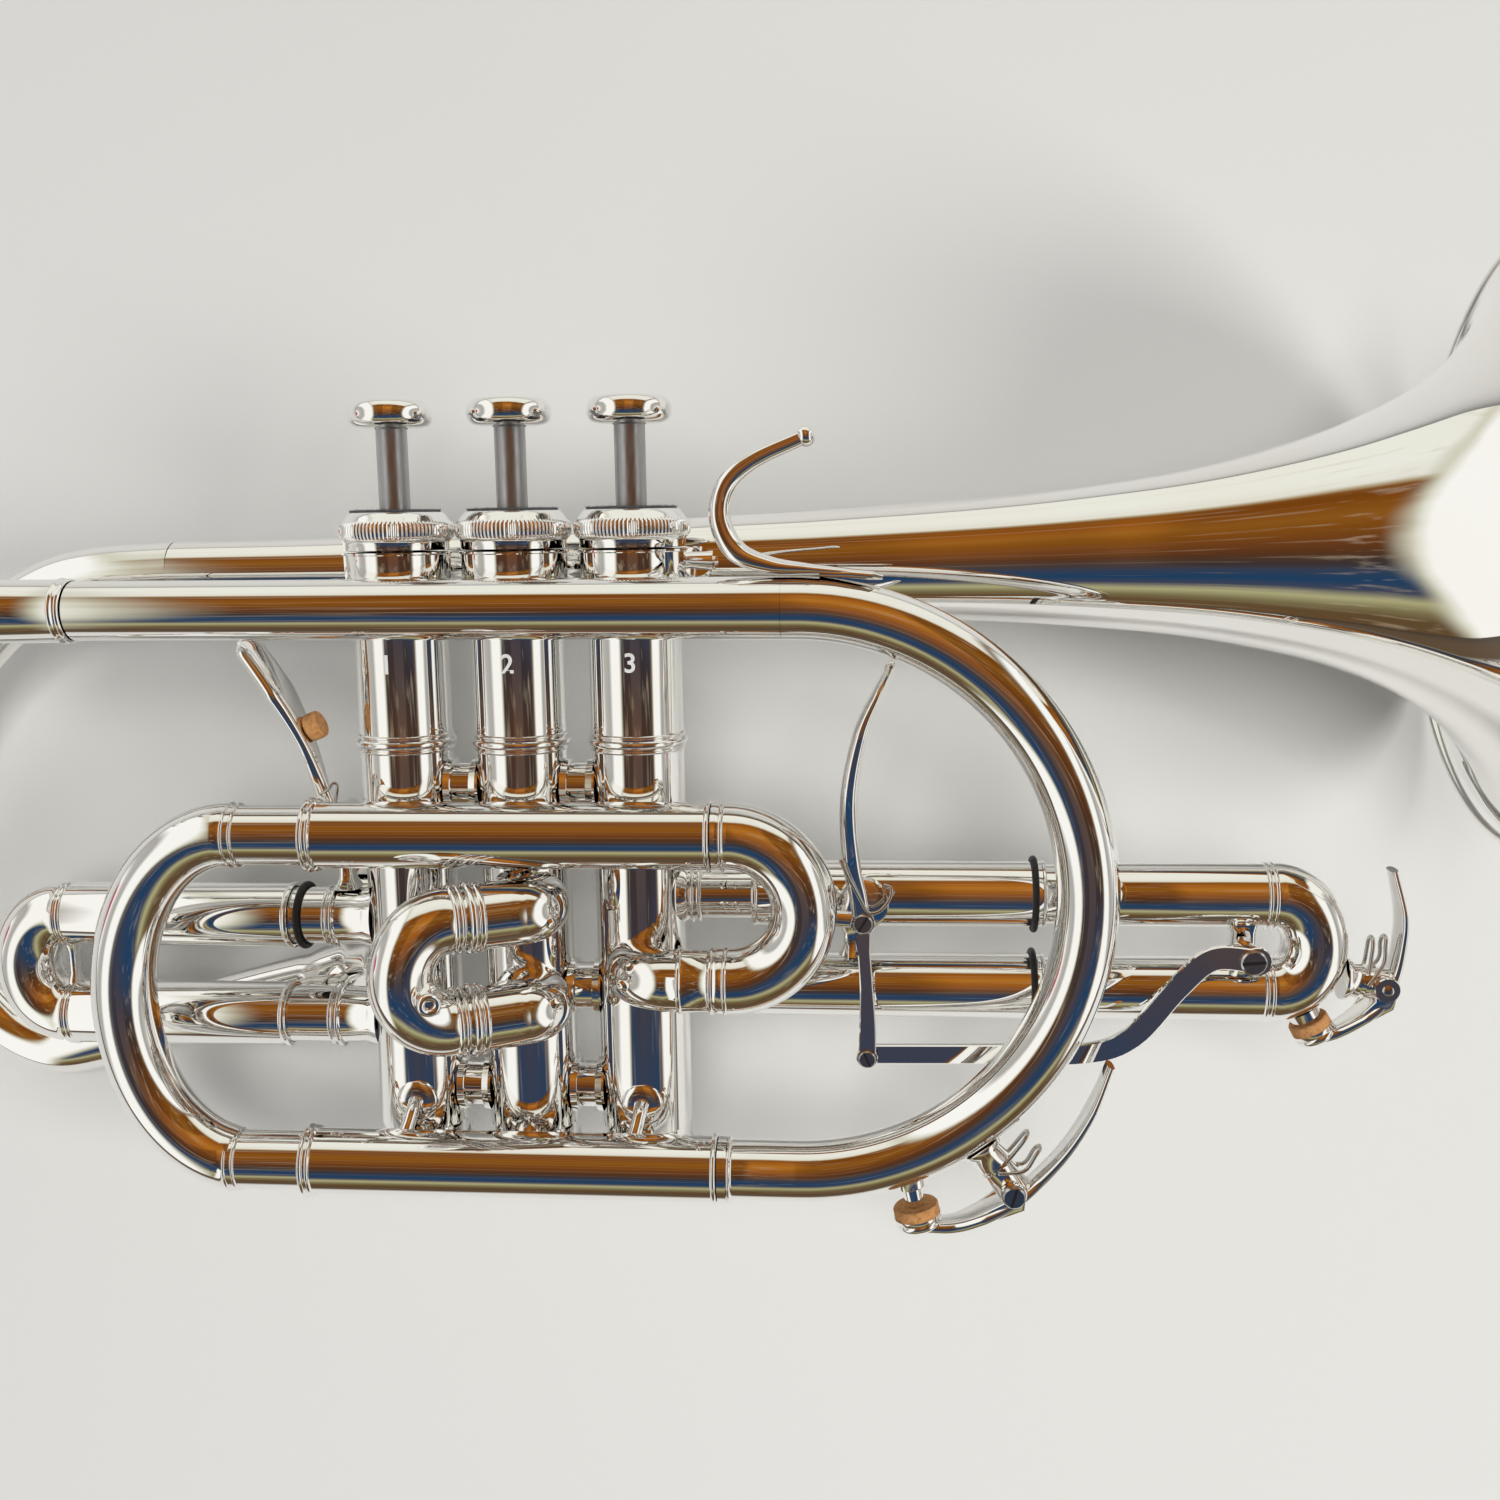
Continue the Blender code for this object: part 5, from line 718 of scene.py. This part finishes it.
# ---------------------------------------------------------------- water keys
def key(n_, hole, out, neck, cork_r, pivot, foot, path, sizes, holder, body):
    pin = Vector((0, 0, 1))
    out = Vector(out).normalized()
    hole, pivot, foot = Vector(hole), Vector(pivot), Vector(foot)
    a = hole - out * 1.2
    turned(f"nipple_{n_}", a, out, [(0, 0), (0, 3.6), (1.0, 3.4), (1.9, 3.3), (2.1, 3.1)]
        + ([(2.6, 2.15), (1.2 + neck, 2.0)] if neck > 3 else [(1.2 + neck, 3.0)]) + [(1.2 + neck, 0)],
           holder, sides=40)
    seat = hole + out * (neck + 0.15)
    turned(f"key_cork_{n_}_v", seat, out, [(0, 0), (0, cork_r - 0.2), (0.3, cork_r), (2.5, cork_r),
        (2.8, cork_r - 0.2), (2.8, 0)], body, (f"water_key_cork_{n_}",), CORK, sides=48)
    seat = hole + out * (neck + 0.35 + 2.6 + 0.35)
    turned(f"key_cup_{n_}_v", seat, out, [(-1.0, 0), (-1.0, cork_r + 0.2), (-0.2, cork_r + 0.2),
        (0.0, cork_r), (0.3, cork_r + 0.2), (1.0, cork_r + 0.15), (1.6, cork_r - 0.4),
        (1.8, cork_r - 1.4), (1.9, 0)], body, (), SILVER, sides=48, sharp=50)
    rod(f"key_lever_{n_}_v", spline([seat + out * 1.4] + path, 8), sizes, body,
        (f"water_key_lever_{n_}",), up=pin, square=1.35, sides=32, sharp=50)
    rise = (pivot - foot).normalized()
    tall = (pivot - foot).length
    turned(f"key_post_{n_}", foot - rise * 0.6, rise, [(0, 0), (0, 4.6), (0.9, 4.5), (1.5, 3.8),
        (tall * 0.5 - 0.5, 3.6), (tall * 0.5 - 0.2, 3.1), (tall * 0.5 + 0.2, 3.1),
           (tall * 0.5 + 0.5, 3.6), (tall + 1.0, 3.6), (tall + 1.6, 3.2), (tall + 1.6, 0)], holder,
           (f"water_key_saddle_{n_}",), sides=56, sharp=50)
    for sgn in (-1, 1):
        c = pivot + pin * (sgn * 3.7)
        turned(f"key_ear_{n_}_{'ab'[sgn > 0]}", c, pin * sgn, [(0, 0), (0, 2.7), (0.9, 2.7), (1.2, 2.5),
            (1.2, 0)], body, sides=40)
        rod(f"key_web_{n_}_{'ab'[sgn > 0]}", [c + pin * (sgn * 0.6), path[2] + pin * (sgn * 4.1),
            path[1] + pin * (sgn * 2.6)], [(0.55, 2.6), (0.6, 2.2), (0.6, 1.4)], body, up=pin,
            square=1.6, sides=24)
    if n_ == 1:
        slotted("key_screw_1", pivot + pin * 4.9, pin, 2.4, 1.0, holder, 75)
    else:
        turned("key_pin_2", pivot + pin * 4.9, pin, [(0, 0), (0, 1.2), (0.5, 1.1), (0.7, 0.7),
            (0.7, 0)], holder, mat=SCREW, sides=24)
    wire = 0.42
    d = (Vector(path[-2]) - pivot).normalized()
    q = pin.cross(d)
    if (foot - pivot).dot(q) < 0:
        q = -q
    base = pivot - rise * (tall * 0.5)
    loop = [base + pin * 3.1, base + pin * 1.9 + d * 3.9, base + pin * 1.7 + d * 8.0 - rise * 0.4, base
        + pin * 0.9 + d * 9.6 - rise * 0.6,
            base - pin * 0.9 + d * 9.6 - rise * 0.6, base - pin * 1.7 + d * 8.0 - rise * 0.4,
            base - pin * 1.9 + d * 3.9, base - pin * 3.1]
    rod(f"key_spring_{n_}", spline(loop, 5), (wire, wire), holder, mat=SCREW, up=(0.3, 0.2, 1), sides=12)
    loop = [base + pin * 3.6, pivot + pin * 1.9 + d * 4.6 + q * 1.2, pivot + pin * 1.7 + d * 8.6
        + q * 1.7, pivot + pin * 0.9 + d * 10.2 + q * 1.8,
            pivot - pin * 0.9 + d * 10.2 + q * 1.8, pivot - pin * 1.7 + d * 8.6 + q * 1.7,
            pivot - pin * 1.9 + d * 4.6 + q * 1.2, base - pin * 3.6]
    rod(f"key_spring_{n_}_b", spline(loop, 5), (wire, wire), body, mat=SCREW, up=(0.3, 0.2, 1), sides=12)


BM = Vector((BEND_X, BEND_MID, LEAD_Z))
h1 = BM + (BEND_R + TUBE) * Vector((math.cos(math.radians(-69)), math.sin(math.radians(-69)), 0))
p1 = h1 + Vector((21.2, -0.6, 0))
f1 = BM + (p1 - BM).normalized() * (BEND_R + TUBE)
key(1, h1, (0.2, -0.98, 0), 5.0, 4.8, p1, f1,
    [p1 + Vector(v) for v in ((-12.2, -8.6, 0), (-6.0, -6.0, 0), (0.3, -2.4, 0), (5.2, 1.6, 0),
    (11.3, 9.0, 0), (16.2, 17.8, 0), (19.7, 27.0, 0))],
    [(2.6, 1.3), (3.0, 1.5), (4.4, 1.6), (4.6, 1.4), (3.2, 1.4), (3.4, 1.2), (3.8, 1.0), (2.6, 0.8)],
    ROOT, "water_key_1")
B2 = Vector((THIRD_BOW + 2, tm, 0))
h2 = B2 + (tr + 6.9) * Vector((math.cos(math.radians(-67)), math.sin(math.radians(-67)), 0))
p2 = h2 + Vector((15.6, 6.8, 0))
f2 = Vector((B2.x + tr - 2 + 6.6, p2.y + 1.2, 0))
key(2, h2, (0.49, -0.87, 0), 1.2, 4.3, p2, f2,
    [p2 + Vector(v) for v in ((-8.6, -10.2, 0), (-3.6, -6.6, 0), (-0.4, -3.4, 0), (2.2, 1.8, 0),
    (3.4, 9.4, 0), (3.3, 16.0, 0), (1.2, 25.0, 0))],
    [(2.6, 1.3), (3.0, 1.5), (4.4, 1.5), (4.6, 1.4), (3.2, 1.3), (3.4, 1.1), (3.8, 0.95), (2.6, 0.8)],
    "third_slide_body", "water_key_2")

# springs of the triggers
rod("third_spring", spline([(T3.x - 4.6, T3.y + 14.0, LZ + 2.2), (T3.x - 3.4, T3.y + 11.4, LZ + 3.0),
    (T3.x - 0.6, T3.y + 5.8, LZ + 2.4), (T3.x + 1.2, T3.y + 2.6, LZ + 1.5),
                            (T3.x + 3.6, T3.y + 2.8, LZ + 0.8), (T3.x + 5.6, T3.y + 5.2, LZ + 0.2),
                            (T3.x + 5.9, T3.y + 7.4, LZ - 0.2), (T3.x + 4.4, T3.y + 8.0, LZ - 0.6)], 7),
    (0.4, 0.4), mat=SCREW, sides=12)
rod("first_spring", spline([(T1.x - 1.2, T1.y + 7.4, 9.9), (T1.x + 0.4, T1.y + 8.3, 10.2),
    (T1.x + 1.5, T1.y + 9.6, 10.2), (T1.x + 2.4, T1.y + 9.2, 10.0), (T1.x + 1.8, T1.y + 6.2, 9.6),
    (T1.x + 1.0, T1.y + 4.0, 9.4)], 6),
    (0.34, 0.34), "first_trigger", mat=SCREW, sides=10)


# ---------------------------------------------------------------- engraved valve numbers
def numeral(text, x, y, high):
    cu = bpy.data.curves.new("numeral", "FONT")
    cu.body, cu.size, cu.align_x, cu.align_y = text, high * 1.35, "CENTER", "CENTER"
    cu.resolution_u, cu.offset = 6, 0.09
    ob = bpy.data.objects.new("numeral", cu)
    bpy.context.scene.collection.objects.link(ob)
    bpy.context.view_layer.update()
    mesh = bpy.data.meshes.new_from_object(ob.evaluated_get(bpy.context.evaluated_depsgraph_get()))
    flat = [v.co.copy() for v in mesh.vertices]
    faces_ = [tuple(p.vertices) for p in mesh.polygons]
    bpy.data.objects.remove(ob)
    bpy.data.meshes.remove(mesh)
    r = CASING_R + 0.06
    put(f"numeral_{text}", [(x + r * math.sin(p.x / r), y + p.y, r * math.cos(p.x / r)) for p in flat],
        faces_, ENGRAVED, ROOT)


for text, x in (("1", -PITCH - 0.4), ("2", 0.0), ("3", PITCH + 0.4)):
    numeral(text, x, 19.6, 4.2)

# ---------------------------------------------------------------- floor, light, camera
me = bpy.data.meshes.new("floor")
me.from_pydata([(-6, -6, 0), (6, -6, 0), (6, 6, 0), (-6, 6, 0)], [], [(0, 1, 2, 3)])
me.materials.append(FLOOR)
floor = bpy.data.objects.new("floor", me)
bpy.context.scene.collection.objects.link(floor)

# how the camera is turned from looking straight down at the valves' plane, and how far off it stands
TILT, SWING, ROLL = 8.8715, -4.8977, 0.1275
CAM_R = Euler([math.radians(a) for a in (TILT, SWING, ROLL)]).to_matrix()
CAM_T = Vector((-49.78, 0.0, -327.5))
cam_at = -(CAM_R.transposed() @ CAM_T)
cam = bpy.data.cameras.new("camera")
cam.lens, cam.sensor_width, cam.clip_start = 36.0, 36.0, 0.01
cam_o = bpy.data.objects.new("camera", cam)
bpy.context.scene.collection.objects.link(cam_o)
cam_o.matrix_world = Matrix.Translation(row(cam_at)) @ (TURN @ CAM_R.transposed()).to_4x4()
bpy.context.scene.camera = cam_o

# the room above, seen only in the silver; a plain pale dome for everything else
view_x, view_y, view_z = [TURN @ CAM_R.transposed() @ Vector(v) for v in ((1, 0, 0), (0, 1, 0), (0, 0, 1))]
world = bpy.data.worlds.new("room")
bpy.context.scene.world = world
world.use_nodes = True
n, l = world.node_tree.nodes, world.node_tree.links
n.clear()
out = n.new("ShaderNodeOutputWorld")
coord = n.new("ShaderNodeTexCoord")


def dot(v):
    d = n.new("ShaderNodeVectorMath")
    d.operation = "DOT_PRODUCT"
    l.new(coord.outputs["Generated"], d.inputs[0])
    d.inputs[1].default_value = v
    return d.outputs["Value"]


def maths(op, a, b=None):
    m = n.new("ShaderNodeMath")
    m.operation = op
    for k, v in enumerate((a, b)):
        if v is None:
            continue
        if isinstance(v, (int, float)):
            m.inputs[k].default_value = v
        else:
            l.new(v, m.inputs[k])
    return m.outputs["Value"]


dx, dy, dz = dot(view_x), dot(view_y), dot(view_z)
wob = n.new("ShaderNodeTexNoise")
wob.inputs["Scale"].default_value = 2.2
wob.inputs["Detail"].default_value = 2.0
l.new(coord.outputs["Generated"], wob.inputs["Vector"])
phi = maths("ARCTAN2", dy, dz)
phi = maths("ADD", phi, maths("MULTIPLY", maths("SUBTRACT", wob.outputs["Fac"], 0.5), 0.10))


def stops(deg):
    return (math.radians(deg) + math.pi) / (2 * math.pi)


bands = n.new("ShaderNodeValToRGB")
bands.color_ramp.interpolation = "LINEAR"
WHITE, PALE = (0.98, 0.975, 0.94), (0.78, 0.78, 0.765)
table = [(-180, PALE), (-115, PALE), (-105, (0.12, 0.07, 0.03)), (-76, (0.12, 0.07, 0.03)),
    (-68, (0.20, 0.17, 0.08)), (-59, (0.42, 0.40, 0.21)), (-54, (0.22, 0.21, 0.15)),
         (-50, (0.05, 0.06, 0.10)), (-40, (0.012, 0.05, 0.12)), (-30, (0.035, 0.05, 0.09)),
         (-25, (0.06, 0.05, 0.06)), (-20, (0.09, 0.06, 0.05)), (-10, (0.16, 0.06, 0.02)),
         (0, (0.24, 0.08, 0.02)), (15, (0.35, 0.12, 0.012)), (25, (0.42, 0.16, 0.02)),
         (40, (0.33, 0.10, 0.01)), (49, (0.24, 0.08, 0.01)), (52, (0.45, 0.36, 0.22)),
         (55, (0.80, 0.79, 0.70)), (70, (0.86, 0.86, 0.78)), (95, (0.85, 0.85, 0.76)), (110, PALE),
         (180, PALE)]
ramp = bands.color_ramp
ramp.elements[0].position, ramp.elements[0].color = stops(table[0][0]), (*table[0][1], 1)
ramp.elements[1].position, ramp.elements[1].color = stops(table[-1][0]), (*table[-1][1], 1)
for deg, c in table[1:-1]:
    e = ramp.elements.new(stops(deg))
    e.color = (*c, 1)
l.new(maths("DIVIDE", maths("ADD", phi, math.pi), 2 * math.pi), bands.inputs["Fac"])
# the sides of the room: lit walls left and right of the dark middle, a darker upright here and there
walls = n.new("ShaderNodeValToRGB")
ramp = walls.color_ramp
edges = [(-90, (0.50, 0.07, 0.11)), (-84, (0.50, 0.07, 0.11)), (-81, WHITE), (-73, (0.48, 0.47, 0.44)),
    (-62, (0.42, 0.41, 0.38)), (-55, WHITE), (-37, WHITE), (-33, (0.64, 0.63, 0.50)),
         (-28, (0.33, 0.28, 0.20)), (-22, (0.11, 0.05, 0.02)), (42, (0.20, 0.14, 0.08)), (47, WHITE),
         (61, WHITE), (66, (0.36, 0.35, 0.32)), (78, (0.52, 0.51, 0.48)), (84, WHITE), (90, WHITE)]
ramp.elements[0].position, ramp.elements[0].color = 0, (*edges[0][1], 1)
ramp.elements[1].position, ramp.elements[1].color = 1, (*edges[-1][1], 1)
for deg, c in edges[1:-1]:
    e = ramp.elements.new((deg + 90) / 180)
    e.color = (*c, 1)
theta = maths("ARCSINE", dx)
theta = maths("ADD", theta, maths("MULTIPLY", maths("SUBTRACT", wob.outputs["Fac"], 0.5), 0.08))
l.new(maths("DIVIDE", maths("ADD", theta, math.pi / 2), math.pi), walls.inputs["Fac"])


def step(value, a, b, lo=0.0, hi=1.0):
    r = n.new("ShaderNodeMapRange")
    r.interpolation_type = "SMOOTHSTEP"
    r.inputs["From Min"].default_value, r.inputs["From Max"].default_value = math.radians(a), math.radians(b)
    r.inputs["To Min"].default_value, r.inputs["To Max"].default_value = lo, hi
    l.new(value, r.inputs["Value"])
    return r.outputs["Result"]


def mixed(fac, a, b, blend="MIX"):
    r = n.new("ShaderNodeMix")
    r.data_type, r.blend_type = "RGBA", blend
    for k, v in (("Factor", fac), ("A", a), ("B", b)):
        if isinstance(v, (int, float)):
            r.inputs[k].default_value = v
        elif isinstance(v, tuple):
            r.inputs[k].default_value = (*v, 1)
        else:
            l.new(v, r.inputs[k])
    return r.outputs["Result"]


# darker to the left and right of the wood's lit middle, with pale streaks along it
shade = mixed(step(theta, -10, -5), (0.62, 0.60, 0.60), (1.05, 1.05, 1.05))
shade = mixed(step(theta, 12, 17), shade, (0.55, 0.55, 0.55))
shade = mixed(step(phi, 44, 52), shade, (1.0, 1.0, 1.0))
shade = mixed(step(phi, -22, -30), shade, (1.0, 1.0, 1.0))
middle = mixed(1.0, bands.outputs["Color"], shade, "MULTIPLY")
streak = n.new("ShaderNodeTexNoise")
streak.inputs["Scale"].default_value, streak.inputs["Detail"].default_value = 5.0, 4.0
long_way = n.new("ShaderNodeMapping")
long_way.inputs["Scale"].default_value = (0.6, 3.0, 3.0)
l.new(coord.outputs["Generated"], long_way.inputs["Vector"])
l.new(long_way.outputs["Vector"], streak.inputs["Vector"])
lift = n.new("ShaderNodeMapRange")
lift.inputs["From Min"].default_value, lift.inputs["From Max"].default_value = 0.56, 0.72
lift.inputs["To Min"].default_value, lift.inputs["To Max"].default_value = 0.0, 0.35
l.new(streak.outputs["Fac"], lift.inputs["Value"])
middle = mixed(lift.outputs["Result"], middle, (0.62, 0.50, 0.36))
inside = maths("MULTIPLY", step(theta, -35, -28), step(theta, 43, 37))
whole = mixed(inside, walls.outputs["Color"], middle)
seen = n.new("ShaderNodeBackground")
l.new(whole, seen.inputs["Color"])
seen.inputs["Strength"].default_value = 1.0
dome = n.new("ShaderNodeBackground")
dome.inputs["Color"].default_value = (0.93, 0.94, 0.96, 1)
dome.inputs["Strength"].default_value = 0.24
path = n.new("ShaderNodeLightPath")
pick = n.new("ShaderNodeMixShader")
l.new(path.outputs["Is Glossy Ray"], pick.inputs["Fac"])
l.new(dome.outputs["Background"], pick.inputs[1])
l.new(seen.outputs["Background"], pick.inputs[2])
l.new(pick.outputs["Shader"], out.inputs["Surface"])


def card(name, at, size, energy, aim=(0, 0, 0), colour=(1, 1, 1), glossy=False):
    lamp = bpy.data.lights.new(name, "AREA")
    lamp.size, lamp.energy, lamp.color = size, energy, colour
    ob = bpy.data.objects.new(name, lamp)
    bpy.context.scene.collection.objects.link(ob)
    ob.location = at
    ob.rotation_euler = (Vector(aim) - Vector(at)).to_track_quat("-Z", "Y").to_euler()
    ob.visible_glossy = glossy
    return ob


card("soft_key", (1.5, -0.55, 1.5), 0.8, 21.0, colour=(1.0, 0.99, 0.965))
card("soft_front", (-0.05, -0.1, 2.2), 0.9, 22.5, colour=(1.0, 1.0, 0.985))
bpy.context.scene.view_settings.view_transform = "Standard"

cad_lo, cad_hi = Vector((1e9,) * 3), Vector((-1e9,) * 3)
for node in frame["nodes"]:
    lo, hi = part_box(node)
    cad_lo = Vector(map(min, cad_lo, lo))
    cad_hi = Vector(map(max, cad_hi, hi))
